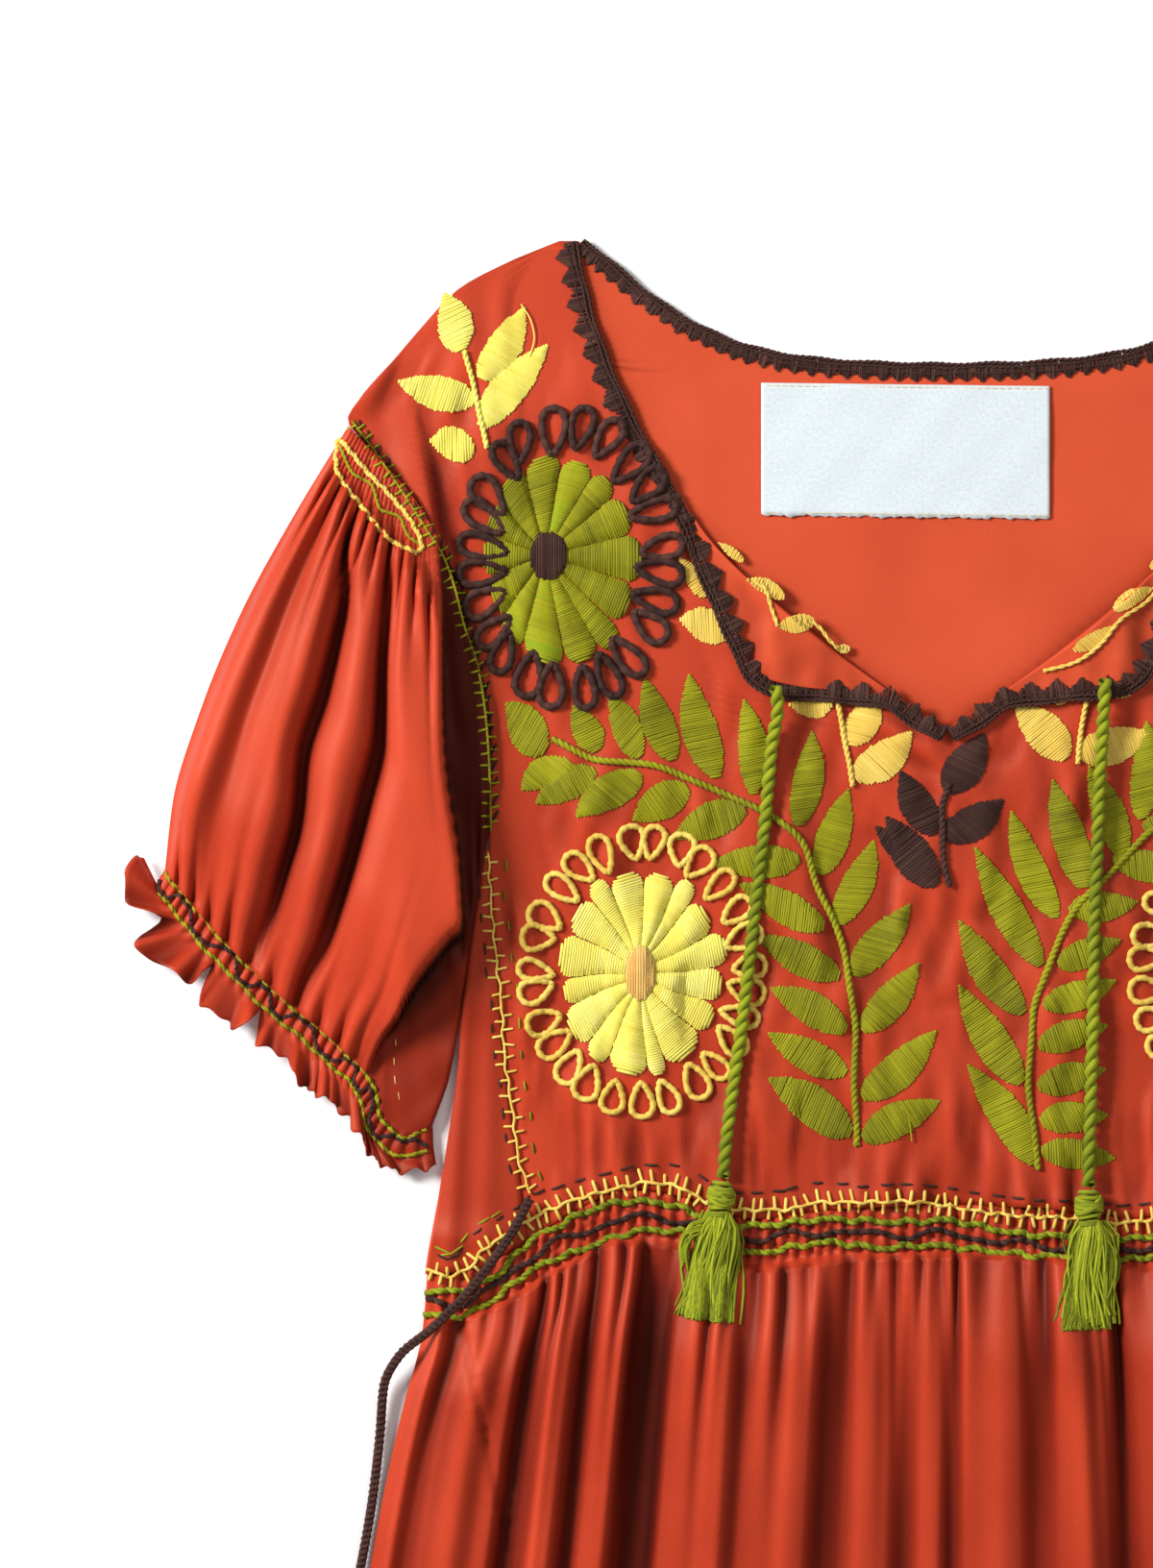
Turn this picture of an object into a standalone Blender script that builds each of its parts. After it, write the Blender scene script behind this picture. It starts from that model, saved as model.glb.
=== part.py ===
"""A woman's embroidered satin dress, laid flat on its back. Metres, +Z up, the neck towards +Y.

Places on the cloth are given in millimetres as across (from the centre line) and down (from the neck point).
"""

import math

import bmesh
import bpy
import numpy as np
from mathutils import Vector

MM = 0.001
LENGTH = 960.0
TOP_EDGE = 1.1
WALL = 1.2
SEAM_GAP = 0.3
FRONT_REST = 1.5 * WALL + SEAM_GAP
BACK_MIDDLE = 0.5 * WALL
SIDES = {"right": -1.0, "left": 1.0}

# The outlines, each a row of (down, across).
OUTER_EDGE = (
    (0.0, 131.7), (8.3, 151.7), (17.7, 169.0), (29.3, 180.5), (42.7, 192.0), (56.0, 203.5),
    (63.3, 207.7), (68.0, 204.5), (78.0, 195.0), (94.0, 181.7), (114.0, 171.7), (134.0, 166.7),
    (164.0, 158.8), (184.0, 157.7), (208.0, 158.6), (238.0, 156.7), (278.0, 153.3), (311.0, 148.3),
    (350.0, 143.0),
)
BODY_EDGE = (
    (211.0, 160.5), (228.0, 162.5), (248.0, 165.5), (268.0, 168.0), (292.0, 170.5), (308.0, 173.3),
    (328.0, 176.7), (348.0, 180.7), (362.0, 182.0),
)
FRONT_OPENING = (
    (0.0, 130.0), (27.7, 124.0), (54.3, 114.0), (81.0, 99.0), (95.0, 89.0), (107.7, 79.5),
    (124.0, 62.0), (137.7, 45.0), (151.0, 28.5), (160.0, 15.0), (170.0, 0.0),
)
BACK_OPENING = (
    (0.0, 130.0), (3.0, 124.0), (10.0, 116.0), (17.7, 107.0), (27.0, 95.0), (34.3, 82.0), (40.5, 64.0),
    (43.8, 42.0), (45.3, 0.0),
)
# The seam between bodice and skirt, rows of (across, down).
WAIST = (
    (0.0, 335.0), (30.0, 336.0), (52.0, 338.5), (66.0, 340.0), (90.0, 332.5), (112.0, 330.0),
    (130.0, 338.5), (148.0, 350.0), (165.0, 357.5), (184.0, 359.5),
)
WAIST_MIDDLE = WAIST[0][1]
WAIST_BEND_FROM = 250.0
SKIRT_EDGE = ((335.0, 180.0), (360.0, 182.0), (384.0, 187.0), (462.0, 200.0), (960.0, 294.0))

# The front skirt's folds, rows of (place from side to side, half width, height).
SKIRT_FOLDS = (
    (-0.955, 0.042, 5.0), (-0.862, 0.060, 11.0), (-0.735, 0.045, 13.0), (-0.625, 0.055, 9.5), (-0.520, 0.030, 6.0),
    (-0.450, 0.060, 13.0), (-0.365, 0.035, 8.0), (-0.285, 0.055, 12.0), (-0.200, 0.032, 7.0),
    (-0.128, 0.042, 11.5), (-0.040, 0.034, 8.5), (0.060, 0.052, 12.5), (0.128, 0.030, 7.0), (0.215, 0.056, 13.0),
    (0.300, 0.034, 8.0), (0.380, 0.050, 11.5), (0.470, 0.044, 9.0), (0.560, 0.058, 13.0), (0.655, 0.040, 9.0),
    (0.745, 0.054, 12.0), (0.850, 0.056, 11.0), (0.952, 0.044, 5.0),
)
WAIST_FADES = 125.0
SHIRRING_DEPTH = 15.0
SHIRRING_HEIGHT = 1.1
GATHERS = 29
GATHERS_FADE = 26.0
FOLDS_GROW = 110.0

# How finely each panel is divided: its columns on a half, and its rows as distances down.
FRONT_COLUMNS = 12
BACK_COLUMNS = 5
FRONT_ROWS = (
    1.5, 14.0, 28.0, 44.0, 63.3, 72.0, 84.0, 97.0, 110.0, 124.0, 138.0, 153.0, 170.0, 188.0,
    208.0, 250.0, 292.0, 335.0,
)
BACK_ROWS = (
    1.5, 10.0, 20.0, 30.0, 38.0, 43.0, 45.3, 56.0, 63.3, 72.0, 84.0, 97.0, 110.0, 124.0, 138.0, 153.0, 170.0,
    188.0, 208.0, 250.0, 292.0, 335.0,
)
SIDE_ROWS = (214.0, 230.0, 250.0, 270.0, 292.0, 312.0, 335.0)
SKIRT_ROWS = (335.0, 343.0, 352.0, 370.0, 400.0, 450.0, 600.0, 960.0)
BACK_SKIRT_ROWS = (335.0, 360.0, 420.0, 560.0, 760.0, 960.0)
SLEEVE_ROWS = (0.0, 0.06, 0.14, 0.28, 0.48, 0.68, 0.84, 0.94, 1.0)
SLEEVE_COLUMNS = 25

# Where the sleeve is sewn in, rows of (share of the seam, down).
ARMHOLE = ((0.0, 65.5), (0.2, 74.0), (0.4, 83.5), (0.6, 95.0), (0.7, 104.0), (0.8, 122.0), (0.9, 155.0), (1.0, 207.0))
ARMHOLE_CLEARANCE = 1.0
# The elastic at the wrist end, the outer edge and the underarm edge, rows of (share, across, down).
CUFF = (
    (0.0, 270.5, 219.0), (0.2, 252.5, 240.5), (0.4, 232.5, 260.5), (0.6, 211.5, 278.5), (0.75, 199.0, 292.0),
    (0.85, 194.5, 305.5), (0.93, 187.0, 311.0), (1.0, 178.5, 307.5),
)
SLEEVE_OUTER = (
    (0.0, 208.5, 65.5), (0.07, 215.5, 77.0), (0.2, 226.5, 95.5), (0.4, 245.0, 130.0), (0.6, 258.5, 163.0),
    (0.8, 268.0, 195.0), (1.0, 270.5, 219.0),
)
SLEEVE_INNER = (
    (0.0, 159.4, 207.0), (0.2, 163.5, 228.0), (0.45, 167.5, 251.0), (0.7, 171.2, 274.0), (0.85, 174.5, 291.0),
    (1.0, 178.5, 307.5),
)
# The puffed height and the edge of the front fold, rows of (share along the sleeve, value).
PUFF = ((0.0, 7.0), (0.06, 8.0), (0.18, 15.0), (0.42, 22.0), (0.68, 22.0), (0.88, 12.5), (1.0, 4.5))
FOLD_EDGE = ((0.0, 1.0), (0.35, 1.0), (0.6, 0.94), (0.8, 0.86), (1.0, 0.78))
# Pleats over the sleeve's front, rows of (share across, half width, height).
SLEEVE_PLEATS = ((0.10, 0.075, 4.0), (0.25, 0.085, 6.5), (0.385, 0.050, 4.5), (0.525, 0.075, 7.0), (0.74, 0.105, 7.5))
SLEEVE_GATHERS = 9.0
CUFF_BAND = 8.0
RUFFLE = 13.5
RUFFLE_WAVES = 8.5
RUFFLE_HEIGHT = 3.6
RUFFLE_SWAY = 2.6

# The corner of the neck opening that is turned back, rows of (share, fold across, fold down, edge across, edge down).
LAPEL = (
    (0.0, 91.5, 91.0, 94.5, 93.0), (0.15, 82.0, 104.5, 88.5, 106.0), (0.35, 66.0, 120.5, 79.0, 127.0),
    (0.55, 51.0, 133.0, 68.0, 150.5), (0.7, 38.0, 143.5, 52.0, 155.5), (0.85, 22.0, 155.5, 30.0, 158.0),
    (1.0, 9.0, 164.5, 10.5, 167.0),
)
LAPEL_ROLL = 1.6

# The crocheted edging's line, rows of (share, across, down, side that its points face).
FRONT_TRIM = (
    (0.0, 130.5, 1.8, 1.0), (0.12, 124.5, 27.7, 1.0), (0.24, 114.5, 54.3, 1.0), (0.35, 100.5, 81.0, 0.4),
    (0.42, 92.5, 95.0, -0.3), (0.50, 84.5, 115.0, -1.0), (0.60, 74.5, 138.0, -1.0), (0.68, 67.0, 152.5, -0.9),
    (0.72, 60.0, 157.0, -0.9), (0.80, 42.0, 158.5, -1.0), (0.89, 21.0, 161.0, -1.0), (0.95, 9.5, 168.5, -0.8),
    (1.0, 1.6, 172.3, -0.5),
)
BACK_TRIM = (
    (0.0, 0.0, 45.8), (0.15, 22.0, 45.3), (0.3, 45.0, 43.8), (0.45, 66.0, 40.2), (0.6, 84.0, 33.4),
    (0.75, 102.0, 22.5), (0.9, 119.0, 8.5), (1.0, 127.0, 2.6),
)
TRIM_BAND = 3.6
TRIM_POINT = 3.4
TRIM_WALL = 1.6
FRONT_SCALLOPS = 26
BACK_SCALLOPS = 32

# Embroidered flowers, rows of (name, across, down, half width, half height, petals).
FLOWERS = (("green_flower", 137.0, 111.5, 26.0, 35.5, 14), ("yellow_flower", 107.0, 255.0, 27.5, 35.0, 15))
FLOWER_RISE = 2.0
FLOWER_GAP = 0.9
FLOWER_PARTS = 2

LABEL_CENTRE = (-14.3, 73.8)
LABEL_SIZE = (100.0, 46.0)
LABEL_WALL = 1.0

# Cords lying on the cloth, rows of (x, down, lift above the cloth).
NECK_CORD_DIAMETER = 4.6
NECK_CORDS = {
    "right": (
        (-59.5, 156.0, 5.6), (-58.8, 163.0, 4.4), (-60.5, 174.0, 1.5), (-62.0, 190.0, 0.0), (-63.6, 207.0, 0.0),
        (-65.8, 226.0, 0.0), (-68.0, 246.0, 0.0), (-70.5, 268.0, 0.0), (-73.6, 290.0, 0.0), (-76.2, 310.0, 0.8),
        (-77.6, 325.0, 2.1),
    ),
    "left": (
        (54.2, 153.5, 5.6), (53.8, 162.0, 4.4), (53.4, 174.0, 1.5), (52.4, 194.0, 0.0), (51.6, 218.0, 0.0),
        (50.6, 244.0, 0.0), (50.3, 271.0, 0.0), (49.6, 297.0, 0.0), (49.0, 317.0, 0.8), (48.6, 328.0, 2.1),
    ),
}
# The tassel's head, rows of (distance from the cord's end, radius).
TASSEL_HEAD = ((0.0, 2.2), (1.8, 4.0), (6.0, 4.9), (9.6, 4.2), (11.4, 3.4), (14.0, 4.4), (18.0, 4.9), (20.0, 4.6))
TASSEL_NECK = 17.0
TASSEL_SETTLES = 0.8
TASSEL_DEPTH = 6.6
TASSEL_LENGTH = 36.0
TASSEL_STRANDS = 16
TASSEL_TILT = {"right": -0.11, "left": 0.02}

TIE_DIAMETER = 5.0
# The waist tie: first rows of (across, down, lift above the cloth), then rows of (across, down, height) on the floor.
TIE_ON_CLOTH = (
    (144.5, 333.0, 0.2), (151.0, 345.0, 1.4), (159.5, 357.0, 2.0), (169.0, 368.5, 2.0), (179.0, 378.0, 2.4),
    (189.5, 387.0, 1.6),
)
TIE_ON_FLOOR = (
    (195.0, 398.0, 4.4), (196.3, 414.0, 2.9), (198.8, 436.0, 2.8), (203.3, 462.0, 2.8),
    (209.5, 492.0, 2.8), (218.0, 524.0, 2.8), (226.5, 558.0, 2.8), (233.0, 594.0, 2.8), (238.5, 630.0, 2.8),
    (245.5, 666.0, 2.8), (254.0, 702.0, 2.8), (260.0, 738.0, 2.8), (265.5, 774.0, 2.8), (271.5, 808.0, 2.8),
    (278.5, 838.0, 2.8),
)

CLOTH = ("satin", (0.62, 0.10, 0.045), 0.38)
TRIM = ("crochet", (0.07, 0.028, 0.02), 0.85)
GREEN = ("green_thread", (0.30, 0.36, 0.03), 0.7)
YELLOW = ("yellow_thread", (0.85, 0.66, 0.12), 0.7)
LABEL = ("label", (0.75, 0.88, 0.92), 0.6)


def curve(rows, at, column=1):
    """The value of a column at a place in the first column, on a smooth curve that never overshoots its rows."""
    table = np.array(rows, float)
    x, y = table[:, 0], table[:, column]
    step, slope = np.diff(x), np.diff(y) / np.diff(x)
    inner = np.zeros(len(x))
    same_way = slope[:-1] * slope[1:] > 0
    weight = (2 * step[1:] + step[:-1], step[1:] + 2 * step[:-1])
    with np.errstate(divide="ignore", invalid="ignore"):
        mean = (weight[0] + weight[1]) / (weight[0] / slope[:-1] + weight[1] / slope[1:])
    inner[1:-1] = np.where(same_way, mean, 0.0)
    inner[0], inner[-1] = slope[0], slope[-1]
    at = np.clip(np.asarray(at, float), x[0], x[-1])
    i = np.clip(np.searchsorted(x, at) - 1, 0, len(x) - 2)
    t = (at - x[i]) / step[i]
    low = (1 + 2 * t) * (1 - t) ** 2 * y[i] + t * (1 - t) ** 2 * step[i] * inner[i]
    high = t * t * (3 - 2 * t) * y[i + 1] + t * t * (t - 1) * step[i] * inner[i + 1]
    return low + high


def ease(value):
    """0 below 0, 1 above 1, and smooth between."""
    value = np.clip(value, 0.0, 1.0)
    return value * value * (3 - 2 * value)


def bump(distance):
    """A soft hill, 1 at 0 and 0 beyond 1."""
    return np.cos(0.5 * math.pi * np.clip(np.abs(distance), 0.0, 1.0)) ** 2


def waist(across):
    return curve(WAIST, np.abs(across))


def side_section(down):
    """The side panel's section from its front seam round the edge to its back seam, as (across, height) rows."""
    seam = float(curve(OUTER_EDGE, down)) + SEAM_GAP
    edge = float(curve(BODY_EDGE, bent(down, seam))) - 0.5 * WALL - ARMHOLE_CLEARANCE
    wide = edge - seam
    front = float(bodice_height(seam, down))
    return (
        (seam, front), (seam + 0.35 * wide, front + 0.9), (seam + 0.75 * wide, front + 1.2), (edge - 0.4, 3.1),
        (edge, 2.0), (edge - 0.4, 0.95), (seam + 0.6 * wide, BACK_MIDDLE), (seam, BACK_MIDDLE),
    )


def column_shares(columns):
    """Places from the middle (0) to the outer edge (1), closer together towards the edge."""
    return 1 - (1 - np.linspace(0, 1, columns)) ** 1.4


def seam_columns(columns, section):
    """Where a panel's columns and the side panel's meet the waist seam, as distances across."""
    places = column_shares(columns) * float(curve(OUTER_EDGE, WAIST_MIDDLE))
    return np.sort(np.append(places, [a for a, _ in section]))


def waist_between(across, columns):
    """The waist seam as the pieces above it have it: straight from one of their columns to the next."""
    return np.interp(np.abs(across), columns, waist(columns))


def bodice_relief(x, down):
    """How far the front bodice stands above its flat rest, in millimetres."""
    across = np.abs(x)
    edge = curve(OUTER_EDGE, down)
    shoulder = 6.0 * bump((edge - across - 9.0) / 17.0) * bump((down - 74.0) / 62.0)
    loft = 1.2 * bump(across / 175.0) * bump((down - 250.0) / 190.0)
    return shoulder + loft


def bodice_height(x, down):
    return FRONT_REST + bodice_relief(x, down)


def skirt_height(place, down_from_waist):
    """The front skirt's middle surface. place is -1 at one side edge and 1 at the other."""
    folds = sum(height * bump((place - at) / wide) for at, wide, height in SKIRT_FOLDS)
    grown = 0.12 + 0.88 * ease((down_from_waist - SHIRRING_DEPTH) / FOLDS_GROW)
    gather = 0.5 * (1 - np.cos(math.pi * GATHERS * (place + 1)))
    below = np.maximum(down_from_waist - SHIRRING_DEPTH, 0) / GATHERS_FADE
    shirred = SHIRRING_HEIGHT * gather * ease(down_from_waist / 3.0) * (1 + 2.0 * below * np.exp(1 - below))
    shirred = shirred * np.exp(-below)
    tail = ease((1 - np.abs(place)) / 0.03)
    at_seam = ease(down_from_waist / SHIRRING_DEPTH)
    return FRONT_REST + (folds * grown * at_seam + shirred) * tail


def front_top(x, down, reach=3.0):
    """The highest the front's cloth comes near a place, for what lies on it."""
    found = 0.0
    for beside in (-reach, -0.5 * reach, 0.0, 0.5 * reach, reach):
        for along in (-5.0, 0.0, 5.0):
            a, d = x + beside, down + along
            below = d - float(waist(a))
            half = float(curve(SKIRT_EDGE, WAIST_MIDDLE + max(below, 0.0)))
            high = bodice_height(a, d) if below < 0 else skirt_height(a / half, below)
            found = max(found, float(high) + 0.5 * WALL)
    return found


def sleeve_place(along, share):
    """(across, down) on the sleeve, on a patch between its four edges."""
    hole_down = curve(ARMHOLE, share)
    hole = np.stack([curve(OUTER_EDGE, hole_down) + ARMHOLE_CLEARANCE, hole_down], -1)
    cuff = np.stack([curve(CUFF, share, k) for k in (1, 2)], -1)
    outer = np.stack([curve(SLEEVE_OUTER, along, k) for k in (1, 2)], -1)
    inner = np.stack([curve(SLEEVE_INNER, along, k) for k in (1, 2)], -1)
    corners = [np.array(rows[i][1:], float) for rows, i in ((SLEEVE_OUTER, 0), (SLEEVE_INNER, 0), (CUFF, 0), (CUFF, -1))]
    s, t = np.asarray(along)[..., None], np.asarray(share)[..., None]
    ruled = (1 - s) * hole + s * cuff + (1 - t) * outer + t * inner
    shared = (1 - s) * ((1 - t) * corners[0] + t * corners[1]) + s * ((1 - t) * corners[2] + t * corners[3])
    return ruled - shared


def sleeve_height(along, share):
    """The height of the sleeve's upper cloth over its lower cloth."""
    edge = curve(FOLD_EDGE, along)
    over = np.clip(share / edge, 0.0, 1.0)
    dome = np.sin(math.pi * over ** 0.92) ** 0.62
    pleats = sum(high * bump((share - at) / wide) for at, wide, high in SLEEVE_PLEATS)
    pleats = pleats * bump((along - 0.5) / 0.62) * ease((edge - share) / 0.06)
    fine = 0.5 * (1 - np.cos(2 * math.pi * SLEEVE_GATHERS * over))
    ends = np.exp(-along / 0.10) + np.exp(-(1 - along) / 0.10)
    fine = 1.9 * fine * np.minimum(ends, 1.0) * ease((0.75 - share) / 0.1)
    return curve(PUFF, along) * dome * (1 - 0.25 * dome) + pleats * ease(over / 0.08) * 0.8 + fine * ease(over / 0.08)


def material(spec):
    name, colour, roughness = spec
    found = bpy.data.materials.get(name)
    if found:
        return found
    made = bpy.data.materials.new(name)
    made.use_nodes = True
    shader = made.node_tree.nodes["Principled BSDF"]
    shader.inputs["Base Color"].default_value = (*colour, 1.0)
    shader.inputs["Roughness"].default_value = roughness
    return made


def point(x, down, z):
    """A place on the dress in Blender's metres."""
    return Vector((x * MM, (0.5 * (LENGTH + TOP_EDGE) - down) * MM, z * MM))


def new_object(name, mesh, spec):
    made = bpy.data.objects.new(name, mesh)
    made.data.materials.append(material(spec))
    bpy.context.scene.collection.objects.link(made)
    return made


def sheet(name, grid_rows, spec, wall, closed=False, parted=None):
    """A wall through rows of (x, down, z) points. closed joins each row's ends; no face is made in column parted."""
    mesh = bmesh.new()
    grid = [[mesh.verts.new(point(*p)) for p in row] for row in grid_rows]
    for upper, lower in zip(grid, grid[1:]):
        count = len(upper)
        for i in range(count if closed else count - 1):
            j = (i + 1) % count
            if i != parted:
                mesh.faces.new((upper[i], upper[j], lower[j], lower[i]))
    bmesh.ops.remove_doubles(mesh, verts=mesh.verts, dist=0.02 * MM)
    bmesh.ops.recalc_face_normals(mesh, faces=mesh.faces)
    data = bpy.data.meshes.new(name)
    mesh.to_mesh(data)
    mesh.free()
    made = new_object(name, data, spec)
    thick = made.modifiers.new("thickness", "SOLIDIFY")
    thick.thickness = wall * MM
    thick.offset = 0.0
    return made


def bent(down, across):
    """The same row lower down, bent to follow the waist seam."""
    share = np.clip((down - WAIST_BEND_FROM) / (WAIST_MIDDLE - WAIST_BEND_FROM), 0, 1)
    return down + (waist(across) - WAIST_MIDDLE) * share


def above_seam(down):
    return SEAM_GAP * 0.6 if down >= WAIST_MIDDLE else 0.0


def panel(name, downs, columns, opening, height):
    """A bodice panel from shoulder to waist. Its halves part above the end of the neck opening."""
    rows = []
    for down in downs:
        inner = float(curve(opening, down)) if down < opening[-1][0] else 0.0
        half = inner + (float(curve(OUTER_EDGE, down)) - inner) * column_shares(columns)
        across = np.concatenate([-half[::-1], half])
        lowered = bent(down, across) - above_seam(down)
        rows.append(list(zip(across, lowered, height(across, lowered))))
    return sheet(name, rows, CLOTH, WALL, parted=columns - 1)


def flat_back(across, down):
    return np.full(np.shape(across), BACK_MIDDLE)


def bodice():
    panel("front_bodice", FRONT_ROWS, FRONT_COLUMNS, FRONT_OPENING, bodice_height)
    panel("back_bodice", BACK_ROWS, BACK_COLUMNS, BACK_OPENING, flat_back)


def side_panel(name, side):
    rows = []
    for down in SIDE_ROWS:
        section = side_section(down)
        rows.append([(side * a, float(bent(down, a)) - above_seam(down), z) for a, z in section])
    sheet(name, rows, CLOTH, WALL)


def skirt_panel(name, downs, across, columns, height):
    """A skirt panel that widens evenly from the waist seam. across is where its columns meet the seam."""
    half = float(curve(SKIRT_EDGE, WAIST_MIDDLE))
    rows = []
    for down in downs:
        grown = float(curve(SKIRT_EDGE, down)) / half
        share = ease((down - WAIST_MIDDLE) / WAIST_FADES)
        lowered = down + (waist_between(across, columns) - WAIST_MIDDLE) * (1 - share)
        lowered = lowered + (SEAM_GAP * 0.6 if down <= WAIST_MIDDLE else 0.0)
        rows.append(list(zip(across * grown, lowered, height(across / half, down - WAIST_MIDDLE))))
    sheet(name, rows, CLOTH, WALL)


def skirt():
    half = float(curve(SKIRT_EDGE, WAIST_MIDDLE)) * 0.996
    section = side_section(WAIST_MIDDLE)
    columns = seam_columns(FRONT_COLUMNS, section[:5])
    fixed = columns[columns < half]
    fixed = np.concatenate([-fixed[:0:-1], fixed, [-half, half]])
    folds = np.concatenate([[at - wide * 0.9, at, at + wide * 0.9] for at, wide, _ in SKIRT_FOLDS])
    wanted = np.concatenate([np.linspace(-1, 1, 2 * GATHERS + 1), folds.clip(-1, 1)]) * half
    clear = [w for w in wanted if np.min(np.abs(fixed - w)) > 1.4]
    across = np.sort(np.concatenate([fixed, clear]))
    across = across[np.concatenate([[True], (np.diff(across) > 0.9)])]
    skirt_panel("front_skirt", SKIRT_ROWS, across, columns, skirt_height)
    columns = seam_columns(BACK_COLUMNS, section[4:])
    fixed = columns[columns < half]
    across = np.concatenate([-fixed[:0:-1], fixed, [-half, half]])
    skirt_panel("back_skirt", BACK_SKIRT_ROWS, np.sort(across), columns, flat_back)


def sleeve(name, side):
    """A puffed sleeve: a tube with a flat lower side, from the armhole through the cuff's elastic to the ruffle."""
    top = np.concatenate([[0.0, 0.008], np.linspace(0.03, 0.97, SLEEVE_COLUMNS), [0.992, 1.0]])
    under = np.linspace(1.0, 0.0, 9)[1:-1]
    rows = []
    for along in SLEEVE_ROWS:
        places = sleeve_place(np.full(len(top), along), top)
        height = sleeve_height(np.full(len(top), along), top)
        rows.append(ring(places, height, sleeve_place(np.full(len(under), along), under), side))
    middle = np.array([curve(CUFF, top, k) for k in (1, 2)]).T
    out = ruffle_direction(top)
    under_middle = np.array([curve(CUFF, under, k) for k in (1, 2)]).T
    for reach, wave, fine in ((CUFF_BAND, 0.0, 1.0), (CUFF_BAND + 0.45 * RUFFLE, 0.6, 0.3), (CUFF_BAND + RUFFLE, 1.0, 0.0)):
        phase = 2 * math.pi * RUFFLE_WAVES * top
        inside = ease(top / 0.04) * ease((1 - top) / 0.04)
        height = 3.0 * inside + inside * (wave * RUFFLE_HEIGHT * (1 + np.cos(phase)) + fine * 1.2 * (1 - np.cos(2 * phase)))
        sway = wave * RUFFLE_SWAY * np.sin(phase) * inside
        spread = 1.0 + 0.10 * wave * (2 * top - 1)
        places = middle + out * (reach + sway)[:, None] * spread[:, None]
        flat = under_middle + ruffle_direction(under) * reach
        rows.append(ring(places, height, flat, side))
    sheet(name, rows, CLOTH, WALL, closed=True)


def ruffle_direction(share):
    """The way out of the cuff, square to its line, as (across, down)."""
    step = 0.02
    ahead = np.array([curve(CUFF, np.minimum(share + step, 1), k) for k in (1, 2)])
    behind = np.array([curve(CUFF, np.maximum(share - step, 0), k) for k in (1, 2)])
    along = (ahead - behind).T
    along = along / np.linalg.norm(along, axis=1)[:, None]
    turned = np.stack([along[:, 1], -along[:, 0]], -1)
    main_way = np.array([0.30, 0.95])
    mixed = turned * 0.45 + main_way * 0.55
    return mixed / np.linalg.norm(mixed, axis=1)[:, None]


def ring(places, height, under, side):
    """One closed section: over the top from the outer edge to the underarm edge, and back flat underneath."""
    fold = np.minimum(np.arange(len(places)), np.arange(len(places))[::-1])
    lift = np.choose(np.minimum(fold, 2), [1.0, 1.75, 2.1])
    over = [(side * a, d, BACK_MIDDLE + up + z * (1.0 if f > 0 else 0.0)) for (a, d), z, up, f in zip(places, height, lift, fold)]
    below = [(side * a, d, BACK_MIDDLE) for a, d in under]
    return over + below


def lapel(name, side):
    """The turned-back corner of the neck opening, lying on the front bodice."""
    rows = []
    for share in np.linspace(0.03, 0.97, 11):
        fold = np.array([curve(LAPEL, share, k) for k in (1, 2)])
        edge = np.array([curve(LAPEL, share, k) for k in (3, 4)])
        row = []
        for across in np.linspace(0, 1, 5):
            a, d = fold + (edge - fold) * across
            lift = WALL + SEAM_GAP + 0.15 + LAPEL_ROLL * (1 - across) ** 2 * bump((share - 0.5) / 0.55)
            row.append((side * a, d, float(bodice_height(a, d)) + lift))
        rows.append(row)
    sheet(name, rows, CLOTH, WALL)


def edging(name, line, scallops, height, side_of):
    """A crocheted band along a line, with a row of points sewn into the cloth."""
    count = 2 * scallops
    share = np.linspace(0, 1, count + 1)
    places = line(share)
    along = np.gradient(places, axis=0)
    along = along / np.linalg.norm(along, axis=1)[:, None]
    across = np.stack([along[:, 1], -along[:, 0]], -1)
    facing = side_of(share)
    tip = (np.arange(count + 1) % 2) * TRIM_POINT
    rows = []
    for i in range(count + 1):
        out = places[i] - across[i] * np.sign(facing[i] or 1.0) * 0.5 * TRIM_BAND
        into = places[i] + across[i] * (0.5 * TRIM_BAND * np.sign(facing[i] or 1.0) + tip[i] * facing[i])
        rows.append([(p[0], p[1], height(p[0], p[1], share[i])) for p in (out, 0.5 * (out + into), into)])
    sheet(name, rows, TRIM, TRIM_WALL)


def front_edging(name, side):
    on_lapel = WALL + SEAM_GAP + 0.15

    def line(share):
        return np.stack([side * curve(FRONT_TRIM, share, 1), curve(FRONT_TRIM, share, 2)], -1)

    def height(x, down, share):
        lift = 0.5 * WALL + SEAM_GAP + 0.5 * TRIM_WALL + 0.25
        turned = ease((share - 0.34) / 0.08)
        return float(bodice_height(x, down)) + lift + turned * (on_lapel + 0.35)

    edging(name, line, FRONT_SCALLOPS, height, lambda share: -side * curve(FRONT_TRIM, share, 3))


def back_edging():
    def line(share):
        place = 2 * share - 1
        across = curve(BACK_TRIM, np.abs(place), 1) * np.sign(place)
        return np.stack([across, curve(BACK_TRIM, np.abs(place), 2)], -1)

    edging("back_neck_edging", line, BACK_SCALLOPS, lambda x, d, s: WALL + SEAM_GAP + 0.5 * TRIM_WALL, lambda s: -np.ones(len(s)))


def label():
    centre_x, centre_down = LABEL_CENTRE
    wide, high = LABEL_SIZE
    z = WALL + SEAM_GAP + 0.5 * LABEL_WALL
    rows = [[(centre_x + i * wide / 2, centre_down + j * high / 2 + 0.012 * i * wide, z) for i in (-1, 1)] for j in (-1, 1)]
    sheet("label", rows, LABEL, LABEL_WALL)


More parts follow.
